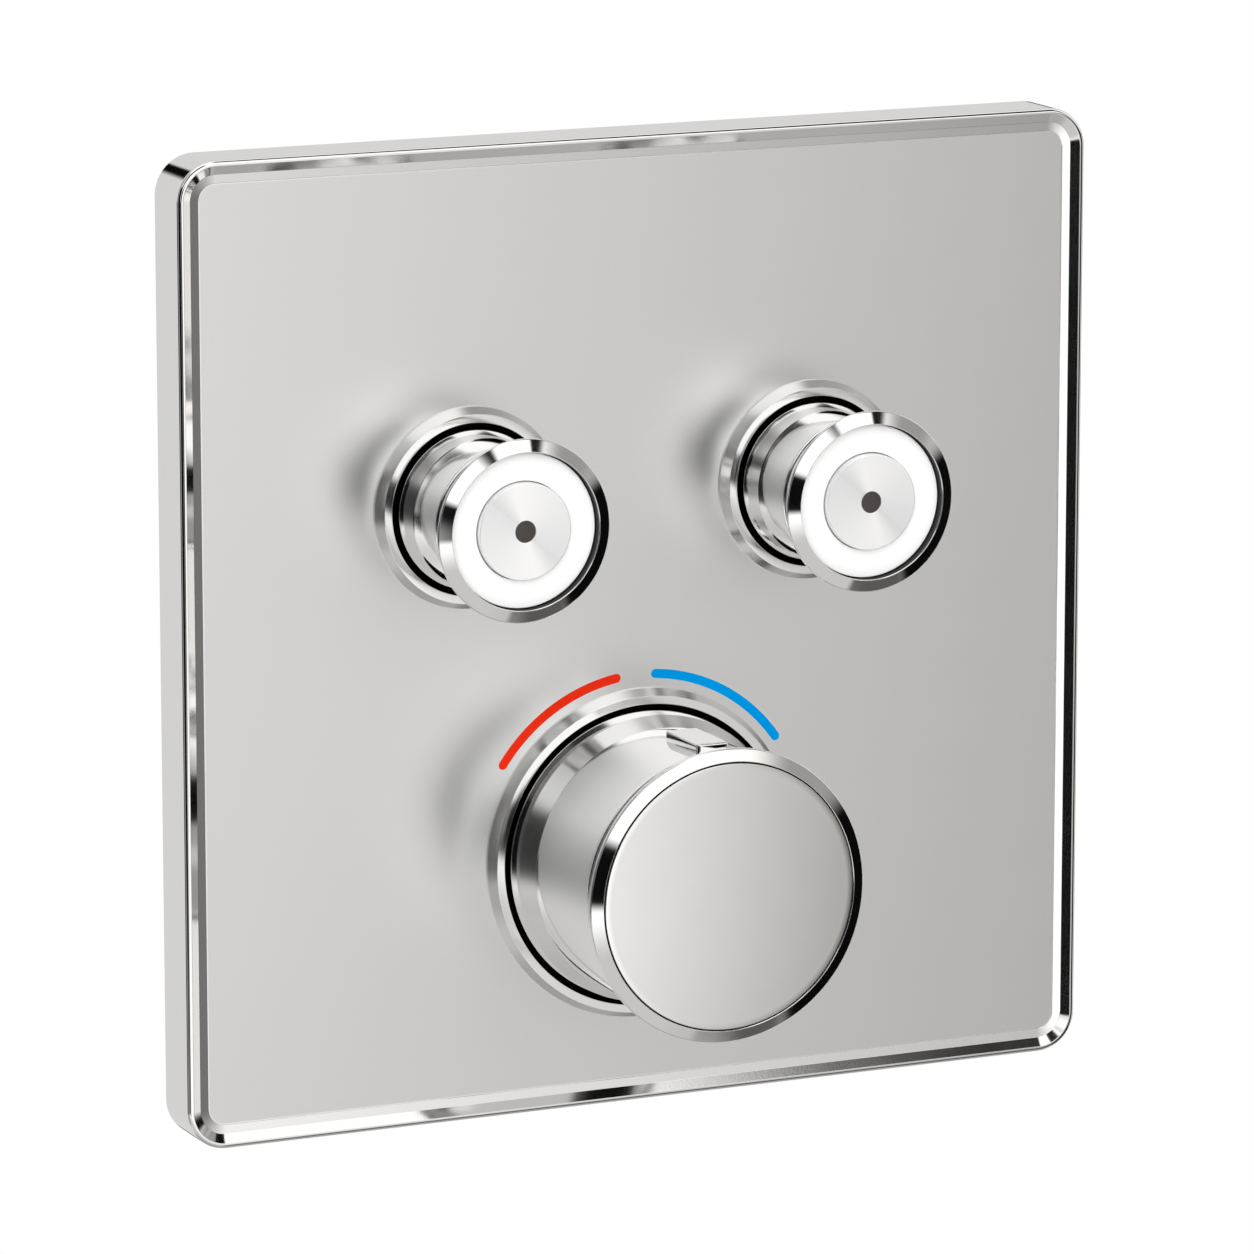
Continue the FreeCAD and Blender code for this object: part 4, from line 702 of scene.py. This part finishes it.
def turned_control(name, f, outline, axis, front):
    """A control whose mouth is painted near-black inside, as painted shade."""
    def in_mouth(radius, reach):
        on_wall = radius < f["mouth_radius"] + ON_SURFACE
        return on_wall and f["floor"] - MOUTH_CHAMFER < reach < front - 2 * MOUTH_CHAMFER

    return turned(name, softened(outline), axis, "polished_chrome", painted_shade_inside=in_mouth)


def make_knob_shell():
    rear, front = out("knob_shell")
    f = KNOB_FORM
    outline = waisted(f, REAR_RADII["knob"], rear, front) + [
        (0.0, f["floor"]),
        (0.0, f["web"]),
        (f["inner_radius"], f["web"]),
        (f["inner_radius"], f["neck_rear"]),
        (f["skirt_radius"], f["neck_rear"] - KNOB_SKIRT_DEPTH),
    ]
    shell = turned_control("knob_shell_chrome", f, outline, KNOB_AXIS, front)
    settle(shell, "knob", "polished_chrome", "knob_shell")


def make_knob_cap():
    """The mirror disc in the knob's front, slightly crowned."""
    rear, front = out("knob_cap")
    radius = half_width("knob_cap")
    edge = front - CAP_CROWN
    sphere = (radius * radius + CAP_CROWN * CAP_CROWN) / (2 * CAP_CROWN)
    face = arc((radius - CAP_SOFT, edge), (0.0, front), sphere, CAP_STEPS)
    outline = softened([(0.0, rear), (radius, rear), (radius, edge, CAP_SOFT)] + face[1:-1]
                       + [(0.0, front)])
    cap = turned("knob_cap_mirror", outline, KNOB_AXIS, "polished_chrome")
    settle(cap, "knob", "polished_chrome", "knob_cap")


TAB_HALF_WIDTH = 0.00275
TAB_CORNER = 0.0006
TAB_CORNER_STEPS = 6
TAB_EDGE = 0.0003
TAB_EDGE_STEPS = 4
TAB_EDGE_ANGLE = math.radians(40)
TAB_REAR = 0.0245
TAB_FRONT = 0.0365
TAB_TOP = 0.02365             # from the knob's axis
TAB_FOOT = 0.0194


def make_stop_button():
    """The tab on the knob's neck, its top following the knob's round, with a foot inside."""
    sides = [(-TAB_HALF_WIDTH, TAB_REAR), (-TAB_HALF_WIDTH, TAB_FRONT - TAB_CORNER)]
    for i in range(1, TAB_CORNER_STEPS + 1):
        angle = QUARTER_TURN * i / TAB_CORNER_STEPS
        sides.append((TAB_CORNER * (1 - math.cos(angle)) - TAB_HALF_WIDTH,
                      TAB_FRONT - TAB_CORNER * (1 - math.sin(angle))))
    sides += [(-x, reach) for x, reach in reversed(sides)]
    foot = [(KNOB_AXIS[0] + x, -reach, KNOB_AXIS[1] + TAB_FOOT) for x, reach in sides]
    top = [(KNOB_AXIS[0] + x, -reach, KNOB_AXIS[1] + math.sqrt(TAB_TOP * TAB_TOP - x * x))
           for x, reach in sides]
    tab = mesh_object("stop_button_chrome", foot + top, prism_faces(len(sides)), ["polished_chrome"])
    bevel = tab.modifiers.new("edges", "BEVEL")
    bevel.width, bevel.segments, bevel.angle_limit = TAB_EDGE, TAB_EDGE_STEPS, TAB_EDGE_ANGLE
    tab.modifiers.move(1, 0)
    settle(tab, "stop_button", "polished_chrome", "stop_button")


RING_BORE_GAP = 0.00012       # between a disc and the white face round it
FACE_SOFT = 0.0002
FACE_BORE_SOFT = 0.0001
DIMPLE = 0.00175              # radius of a disc's dark centre
DIMPLE_DEPTH = 0.0004
CENTRE_SOFT = 0.00008


def make_collar(side):
    rear, front = out(side + "_collar")
    f = BUTTON_FORM
    outline = waisted(f, REAR_RADII["button"], rear, front) + [
        (0.0, f["floor"]),
        (0.0, f["web"]),
        (f["inner_radius"], f["web"]),
        (f["inner_radius"], f["neck_rear"] + BUTTON_SKIRT_DEPTH),
        (f["skirt_radius"], f["neck_rear"]),
    ]
    collar = turned_control(side + "_collar_chrome", f, outline, BUTTON_AXES[side], front)
    settle(collar, side + "_dial", "polished_chrome", side + "_collar")


def make_white_face(side):
    rear, front = out(side + "_face_ring")
    radius = half_width(side + "_face_ring")
    bore = half_width(side + "_disc") + RING_BORE_GAP
    outline = softened([(bore, rear), (radius, rear), (radius, front, FACE_SOFT),
                        (bore, front, FACE_BORE_SOFT)])
    face = turned(side + "_white_face", outline, BUTTON_AXES[side], "white_face")
    settle(face, side + "_dial", "white_face", side + "_face_ring")


def make_disc(side):
    """The spun disc and, in its dimple, the dark centre."""
    rear, front = out(side + "_disc")
    radius = half_width(side + "_disc")
    floor = front - DIMPLE_DEPTH
    axis = BUTTON_AXES[side]
    outline = softened([(0.0, rear), (radius, rear), (radius, front, FACE_SOFT),
                        (DIMPLE, front, FACE_BORE_SOFT), (DIMPLE, floor), (0.0, floor)])
    disc = turned(side + "_spun_disc", outline, axis, side + "_spun_metal")
    settle(disc, side + "_dial", "spun_metal", side + "_disc")
    centre_front = front - DIMPLE_DEPTH / 2
    outline = softened([(0.0, floor), (DIMPLE, floor), (DIMPLE, centre_front, CENTRE_SOFT),
                        (0.0, centre_front)])
    centre = turned(side + "_dark_centre", outline, axis, "dark_centre", CENTRE_SEGMENTS)
    settle(centre, side + "_dial", "spun_metal")


# ---------------------------------------------------------------- Geometry Nodes
class Tree:
    """A Geometry Nodes tree with named inputs of the given kinds and one output."""

    def __init__(self, name, **inputs):
        self.tree = bpy.data.node_groups.new(name, "GeometryNodeTree")
        for kind, names in inputs.items():
            for one in names:
                self.tree.interface.new_socket(one, in_out="INPUT", socket_type="NodeSocket" + kind)
        self.tree.interface.new_socket("Result", in_out="OUTPUT", socket_type="NodeSocketGeometry")
        self.given = self.tree.nodes.new("NodeGroupInput").outputs

    def node(self, kind, inputs=None, **settings):
        """The first output of a new node: its settings first, then a value or links for each socket."""
        made = self.tree.nodes.new(kind)
        for name, value in settings.items():
            setattr(made, name, value)
        for name, value in (inputs or {}).items():
            for one in value if isinstance(value, list) else [value]:
                if isinstance(one, bpy.types.NodeSocket):
                    self.tree.links.new(one, made.inputs[name])
                else:
                    made.inputs[name].default_value = one
        return made.outputs[0] if made.outputs else made

    def maths(self, operation, first, second):
        return self.node("ShaderNodeMath", {0: first, 1: second}, operation=operation)

    def helix(self, radius, turns, height, wire, sides, steps):
        """A wire, of half-thickness wire and so many sides, wound along Z in steps a turn."""
        line = self.node("GeometryNodeCurveSpiral", {
            "Resolution": steps, "Rotations": turns, "Start Radius": radius, "End Radius": radius,
            "Height": height})
        upright = self.node("GeometryNodeSetCurveNormal", {"Curve": line}, mode="Z_UP")
        section = self.node("GeometryNodeCurvePrimitiveCircle", {"Resolution": sides, "Radius": wire})
        return self.node("GeometryNodeCurveToMesh", {"Curve": upright, "Profile Curve": section,
                                                     "Fill Caps": True})

    def finish(self, geometry):
        """The tree, ended by real geometry in the given finish."""
        real = self.node("GeometryNodeRealizeInstances", {"Geometry": geometry})
        dressed = self.node("GeometryNodeSetMaterial", {"Geometry": real, "Material": self.given["Finish"]})
        self.node("NodeGroupOutput", {"Result": dressed})
        return self.tree


def grown(tree, inputs, vertices=(), faces=()):
    """The plain mesh that a tree makes from the given inputs, and from a start mesh where it has one."""
    mesh = bpy.data.meshes.new(tree.name)
    mesh.from_pydata(vertices, [], faces)
    seed = bpy.data.objects.new(tree.name, mesh)
    bpy.context.scene.collection.objects.link(seed)
    modifier = seed.modifiers.new(tree.name, "NODES")
    modifier.node_group = tree
    for item in tree.interface.items_tree:
        if item.in_out == "INPUT" and item.name in inputs:
            modifier[item.identifier] = inputs[item.name]
    bpy.context.view_layer.update()
    seen = seed.evaluated_get(bpy.context.evaluated_depsgraph_get())
    result = bpy.data.meshes.new_from_object(seen)
    bpy.data.objects.remove(seed)
    return result


Z_INTO_WALL = (-QUARTER_TURN, 0.0, 0.0)     # turns that lay Z, or the XY plane, on the wall's own
FLAT_ON_WALL = (QUARTER_TURN, 0.0, 0.0)


# ---------------------------------------------------------------- springs
PUSH_TRAVEL = 0.0035
CHECK_TRAVEL = 0.0025
STOP_TRAVEL = 0.0012
REGULATOR_TRAVEL = 0.0014
SPRING_SIDES = 10
SPRING_STEPS = 40             # steps in one turn
INTO_WALL = Vector((0.0, 1.0, 0.0))
UP = Vector((0.0, 0.0, 1.0))
LOW_END, HIGH_END = -1, 1     # the end that stays when the spring is pressed


def spring(wire, turns, body, axis=INTO_WALL, joint=None, travel=0.0, stays=HIGH_END):
    """A spring's facts; travel is how far its joint presses it."""
    return {"wire": wire, "turns": turns, "body": body, "axis": axis, "joint": joint, "travel": travel,
            "stays": stays}


SPRINGS = {
    "hot_check_spring": spring(0.0010, 4.0, "root", joint="hot_check_slide", travel=CHECK_TRAVEL,
                               stays=LOW_END),
    "cold_check_spring": spring(0.0010, 4.0, "root", joint="cold_check_slide", travel=CHECK_TRAVEL,
                                stays=LOW_END),
    "left_push_spring": spring(0.0010, 4.5, "root", joint="left_push", travel=PUSH_TRAVEL),
    "right_push_spring": spring(0.0010, 4.5, "root", joint="right_push", travel=PUSH_TRAVEL),
    "return_spring": spring(0.0013, 4.0, "root", joint="regulator_slide", travel=REGULATOR_TRAVEL),
    "overtravel_spring": spring(0.0012, 3.0, "regulator"),
    "stop_button_spring": spring(0.0005, 4.5, "knob", UP, "stop_press", STOP_TRAVEL, LOW_END),
}


def spring_tree():
    """A coil spring of round wire, from a start point along a leaning Z."""
    tree = Tree("spring", Float=("Outer Radius", "Wire", "Turns", "Length"), Vector=("Lean", "Start"),
                Material=("Finish",))
    given = tree.given
    half = tree.maths("MULTIPLY", given["Wire"], 0.5)
    radius = tree.maths("SUBTRACT", given["Outer Radius"], half)
    height = tree.maths("SUBTRACT", given["Length"], given["Wire"])
    coil = tree.helix(radius, given["Turns"], height, half, SPRING_SIDES, SPRING_STEPS)
    placed = tree.node("GeometryNodeTransform", {"Geometry": coil, "Translation": given["Start"],
                                                 "Rotation": given["Lean"]})
    return tree.finish(placed)


def make_springs():
    """Coils in place of the plain springs of the CAD."""
    tree = spring_tree()
    for name, facts in SPRINGS.items():
        low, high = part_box(name)
        axis = facts["axis"]
        length = (high - low).dot(axis)
        centre = (low + high) / 2
        mesh = grown(tree, {
            "Outer Radius": (high.x - low.x) / 2, "Wire": facts["wire"], "Turns": facts["turns"],
            "Length": length, "Lean": (0.0, 0.0, 0.0) if axis is UP else Z_INTO_WALL,
            "Start": centre - axis * (length - facts["wire"]) / 2, "Finish": MATERIALS["stainless"],
        })
        coil = settle(finished(name + "_coil", mesh), facts["body"], "stainless", name)
        if facts["joint"]:
            end = centre + axis * facts["stays"] * length / 2
            1 - facts["travel"] / length
            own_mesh(coil)


# ---------------------------------------------------------------- fixing screws
SCREW_HEAD = 0.0045           # radius
SCREW_HEAD_DEPTH = 0.0035
SCREW_HEAD_CHAMFER = 0.0007
SCREW_SOCKET = 0.0020         # half the width across the flats
SCREW_SOCKET_DEPTH = 0.0022
SCREW_NECK = 0.00225
SCREW_NECK_LENGTH = 0.0095
SCREW_CORE = 0.00205
SCREW_CREST = 0.0025
SCREW_RIDGE = 0.00042         # half the height of the thread's ridge
SCREW_PITCH = 0.0008
SCREW_TIP = 0.0008
SCREW_SIDES = 48
SCREW_SOCKET_SIDE = math.pi / 3             # angle of one side of the hexagon
THREAD_SIDES = 4              # the ridge's section stands on its corner
THREAD_STEPS = 24             # steps in one turn


def screw_tree():
    """Winds a thread on a screw blank and puts one screw at each corner of a rectangle."""
    tree = Tree("fixing_screws", Geometry=("Blank",), Material=("Finish",),
                Float=("Crest Radius", "Ridge", "Turns", "Pitch", "Thread Start", "Across", "Down",
                       "Middle"))
    given = tree.given
    radius = tree.maths("SUBTRACT", given["Crest Radius"], given["Ridge"])
    height = tree.maths("MULTIPLY", given["Turns"], given["Pitch"])
    thread = tree.helix(radius, given["Turns"], height, given["Ridge"], THREAD_SIDES, THREAD_STEPS)
    thread_place = tree.node("ShaderNodeCombineXYZ", {"Y": given["Thread Start"]})
    middle_place = tree.node("ShaderNodeCombineXYZ", {"Z": given["Middle"]})
    along = tree.node("GeometryNodeTransform", {
        "Geometry": thread, "Translation": thread_place, "Rotation": Z_INTO_WALL})
    screw = tree.node("GeometryNodeJoinGeometry", {"Geometry": [given["Blank"], along]})
    corners = tree.node("GeometryNodeMeshGrid", {"Size X": given["Across"], "Size Y": given["Down"],
                                                 "Vertices X": 2, "Vertices Y": 2})
    places = tree.node("GeometryNodeTransform", {
        "Geometry": corners, "Translation": middle_place, "Rotation": FLAT_ON_WALL})
    return tree.finish(tree.node("GeometryNodeInstanceOnPoints", {"Points": places, "Instance": screw}))


def screw_blank(front, tip, head_radius):
    """One screw about the Y axis without its thread: head with a hexagon socket, neck and core."""
    def ring(radius, y, flats=False):
        points = []
        for i in range(SCREW_SIDES):
            angle = 2 * math.pi * i / SCREW_SIDES
            from_flat = angle % SCREW_SOCKET_SIDE - SCREW_SOCKET_SIDE / 2
            reach = radius / math.cos(from_flat) if flats else radius
            points.append((reach * math.sin(angle), y, reach * math.cos(angle)))
        return points

    seat = front + SCREW_HEAD_DEPTH
    neck_end = seat + SCREW_NECK_LENGTH - SCREW_PITCH
    socket_floor = front + SCREW_SOCKET_DEPTH
    rings = [
        ring(SCREW_SOCKET, socket_floor, True),
        ring(SCREW_SOCKET, front, True),
        ring(head_radius - SCREW_HEAD_CHAMFER, front),
        ring(head_radius, front + SCREW_HEAD_CHAMFER),
        ring(head_radius, seat),
        ring(SCREW_NECK, seat),
        ring(SCREW_NECK, neck_end),
        ring(SCREW_CORE, neck_end + (SCREW_NECK - SCREW_CORE)),
        ring(SCREW_CORE, tip - SCREW_TIP),
        ring(SCREW_CORE - SCREW_TIP / 2, tip),
    ]
    vertices = [point for points in rings for point in points] + [(0.0, socket_floor, 0.0), (0.0, tip, 0.0)]
    faces = []
    for k in range(len(rings) - 1):
        first, second = k * SCREW_SIDES, (k + 1) * SCREW_SIDES
        for i in range(SCREW_SIDES):
            j = (i + 1) % SCREW_SIDES
            faces.append((first + i, first + j, second + j, second + i))
    last = (len(rings) - 1) * SCREW_SIDES
    for i in range(SCREW_SIDES):
        j = (i + 1) % SCREW_SIDES
        faces.append((len(vertices) - 2, j, i))
        faces.append((len(vertices) - 1, last + i, last + j))
    return vertices, faces


def make_fixing_screws():
    """The four screws that hold the unit, with their threads."""
    low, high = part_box("fixing_screws")
    start = low.y + SCREW_HEAD_DEPTH + SCREW_NECK_LENGTH
    mesh = grown(screw_tree(), {
        "Crest Radius": SCREW_CREST, "Ridge": SCREW_RIDGE, "Pitch": SCREW_PITCH, "Thread Start": start,
        "Turns": (high.y - SCREW_TIP - SCREW_RIDGE - start) / SCREW_PITCH,
        "Across": high.x - low.x - 2 * SCREW_HEAD, "Down": high.z - low.z - 2 * SCREW_HEAD,
        "Middle": (low.z + high.z) / 2, "Finish": MATERIALS["stainless"],
    }, *screw_blank(low.y, high.y, SCREW_HEAD))
    settle(finished("fixing_screws_steel", mesh), "root", "stainless", "fixing_screws")


# ---------------------------------------------------------------- the rest of the unit
# Nuts at the bottom of the grooves, painted dark as painted shade.
IN_SHADED_GROOVES = ("thermostat_nut", "left_cartridge_nut", "right_cartridge_nut")


def dress_nodes():
    """Finishes for the CAD nodes that are shown as they are; the nuts in the grooves get darkened brass as
    painted shade.
    """
    slots = {}
    for part in frame["record"]["subparts"]:
        slots[part["node"]] = part.get("material_slot")
    for name, node in frame["nodes"].items():
        slot = "brass_painted_shade" if name in IN_SHADED_GROOVES else slots.get(name)
        material = MATERIALS.get(slot, MATERIALS["polished_chrome"])
        for i in range(len(node.data.materials)):
            node.data.materials[i] = material
        if not node.data.materials:
            node.data.materials.append(material)


# ---------------------------------------------------------------- studio
# The light that the chrome mirrors, by direction in degrees: azimuth 0 is straight in front of the plate
# and positive to its right. Each card has its azimuths, elevations, soft edge and colour.
UPPER_LIGHT = (1.2, 1.2, 1.195, 1.0)
WARM_LIGHT = (1.17, 1.14, 1.10, 1.0)
WARMS = (5, 40)               # azimuths between the white and the warm light
LOWER_LIGHT = (0.62, 0.61, 0.60, 1.0)
LIGHT_TURNS = (-30, -14)      # elevations between the lower and the upper light
BACK_LIGHT = (0.70, 0.695, 0.69, 1.0)
WHITE = (1.0, 1.0, 1.0, 1.0)
BLACK = (0.003, 0.003, 0.003, 1.0)
SHADE = (0.02, 0.019, 0.018, 1.0)
DARK_GREY = (0.11, 0.105, 0.10, 1.0)
SIDE_GREY = (0.30, 0.295, 0.29, 1.0)
RIGHT_GREY = (0.34, 0.335, 0.33, 1.0)
CARDS = [
    ("floor", (-180, 180), (-100, -56), 6, (0.36, 0.355, 0.35, 1.0)),
    ("left_side", (-122, -72), (-38, 58), 6, SIDE_GREY),
    ("right_side", (42, 66), (6, 68), 8, RIGHT_GREY),
    ("upper_left", (-56, -18), (20, 50), 5, DARK_GREY),
    ("left_flag", (-82, -30), (-17, 24), 4, BLACK),
    ("rear_left_flag", (-136, -108), (-18, -4), 3, BLACK),
    ("slope_flag", (-40, -26), (-20, -5), 2, BLACK),
    ("camera_flag", (-24, 3), (-13, 7), 2, BLACK),
    ("right_flag", (61, 78), (-46, 3), 3, BLACK),
    ("right_rear_flag", (108, 165), (-35, 3), 4, BLACK),
    ("upper_flag", (-22, 7), (28, 54), 2, SHADE),
    ("upper_right_flag", (31.2, 60), (29, 66), 0.8, BLACK),
    ("low_right_flag", (75, 92), (-46, -27), 3, BLACK),
    ("under_flag", (26, 62), (-54, -34), 3, DARK_GREY),
    ("corner_flag", (-176, -160), (17, 31), 2, BLACK),
]
FADE_AZIMUTHS = (17.5, 35.5)      # the light falls off to black between these
FADE_END = (72, 80)
FADE_ELEVATIONS = (-40, 8)
FADE_EDGE = 6
BACK_TURNS = (-0.2, 0.3)      # Y of a direction between the room's light and the light behind


def make_world():
    world = bpy.data.worlds.new("studio")
    bpy.context.scene.world = world
    recipe = Recipe(world)
    direction = recipe.node("TexCoord").output("Generated")
    axes = recipe.node("SeparateXYZ", {0: direction})
    x, y, z = axes, axes.output("Y"), axes.output("Z")
    azimuth = recipe.node("Math", {0: x, 1: 0 - y}, operation="ARCTAN2") * math.degrees(1)
    elevation = recipe.node("Math", {0: z}, operation="ARCSINE") * math.degrees(1)

    def within(value, start, end, edge):
        """1 between start and end, with soft edges."""
        rises = recipe.step(value, start - edge, start + edge)
        falls = recipe.step(value, end - edge, end + edge)
        return rises * (1 - falls)

    colour = recipe.mix(recipe.step(azimuth, *WARMS), UPPER_LIGHT, WARM_LIGHT)
    colour = recipe.mix(recipe.step(elevation, *LIGHT_TURNS), LOWER_LIGHT, colour)
    colour = recipe.mix(recipe.step(y, *BACK_TURNS), colour, BACK_LIGHT)
    for _, azimuths, elevations, edge, card in CARDS:
        mask = within(elevation, *elevations, edge)
        if azimuths[1] - azimuths[0] < 360:
            mask = mask * within(azimuth, *azimuths, edge)
        colour = recipe.mix(mask, colour, card)
    fade = recipe.node("MapRange", {"Value": azimuth, "From Min": FADE_AZIMUTHS[0],
                                    "From Max": FADE_AZIMUTHS[1]})
    fade = fade * (1 - recipe.step(azimuth, *FADE_END)) * within(elevation, *FADE_ELEVATIONS, FADE_EDGE)
    colour = recipe.mix(fade, colour, BLACK)
    sees = recipe.node("LightPath").output("Is Camera Ray")
    light = recipe.node("Background", {"Color": colour})
    backdrop = recipe.node("Background", {"Color": WHITE})
    mixed = recipe.node("MixShader", {0: sees, 1: light, 2: backdrop})
    recipe.node("OutputWorld", {"Surface": mixed})


LAMP_STRENGTH = 2.1
LAMP_SPREAD = math.radians(60)
LAMP_FROM = Vector((-0.35, -0.85, 0.4))


def make_lamp():
    """A broad soft light from the camera's side for the pieces that aren't metal."""
    lamp = bpy.data.objects.new("soft_lamp", bpy.data.lights.new("soft_lamp", "SUN"))
    bpy.context.scene.collection.objects.link(lamp)
    lamp.rotation_euler = LAMP_FROM.to_track_quat("Z", "Y").to_euler()
    lamp.data.energy = LAMP_STRENGTH
    lamp.data.angle = LAMP_SPREAD
    lamp.visible_glossy = False


FLOOR_REACH = 3.0
FLOOR_DEPTH = 1.2
FLOOR_SPECKLE = 4.0
FLOOR_PAINTS = ((0.86, 0.86, 0.86, 1), (0.90, 0.90, 0.90, 1))


def make_floor():
    """A pale floor far below the object, plain white to the camera."""
    corners = ((-1, -1), (1, -1), (1, 1), (-1, 1))
    mesh = bpy.data.meshes.new("floor")
    mesh.from_pydata([(x * FLOOR_REACH, y * FLOOR_REACH, -FLOOR_DEPTH) for x, y in corners], [],
                     [(0, 1, 2, 3)])
    floor = bpy.data.objects.new("floor", mesh)
    bpy.context.scene.collection.objects.link(floor)
    material = bpy.data.materials.new("pale_floor")
    recipe = Recipe(material)
    paint = recipe.mix(recipe.noise(FLOOR_SPECKLE), *FLOOR_PAINTS)
    matt = recipe.node("BsdfDiffuse", {"Color": paint})
    bright = recipe.node("Emission", {"Color": WHITE, "Strength": 1.0})
    sees = recipe.node("LightPath").output("Is Camera Ray")
    mixed = recipe.node("MixShader", {0: sees, 1: matt, 2: bright})
    recipe.node("OutputMaterial", {"Surface": mixed})
    mesh.materials.append(material)
    floor.visible_glossy = False


CAMERA_AZIMUTH = math.radians(24.5)     # left of the plate's normal
CAMERA_ELEVATION = math.radians(11.6)
CAMERA_DISTANCE = 1.213
CAMERA_LENS = 215.3
CAMERA_TARGET = Vector((0.00165, 0.0, -0.00269))


def make_camera():
    camera = bpy.data.objects.new("camera", bpy.data.cameras.new("camera"))
    bpy.context.scene.collection.objects.link(camera)
    back = Vector((-math.sin(CAMERA_AZIMUTH) * math.cos(CAMERA_ELEVATION),
                   -math.cos(CAMERA_AZIMUTH) * math.cos(CAMERA_ELEVATION),
                   math.sin(CAMERA_ELEVATION)))
    camera.location = CAMERA_TARGET + back * CAMERA_DISTANCE
    camera.rotation_euler = back.to_track_quat("Z", "Y").to_euler()
    camera.data.lens = CAMERA_LENS
    bpy.context.scene.camera = camera


# ---------------------------------------------------------------- build
make_camera()
make_world()
make_lamp()
make_floor()
dress_nodes()
make_plate()
make_arc("red_arc", "red_print", *RED_ARC)
make_arc("blue_arc", "blue_print", *BLUE_ARC)
make_sleeve("temperature_sleeve", KNOB_AXIS, KNOB_LIP)
for side, axis in BUTTON_AXES.items():
    make_sleeve(side + "_sleeve", axis, BUTTON_LIP)
    make_collar(side)
    make_white_face(side)
    make_disc(side)
make_knob_shell()
make_knob_cap()
make_stop_button()
make_springs()
make_fixing_screws()

bpy.context.scene.view_settings.view_transform = "Standard"

bpy.context.view_layer.update()
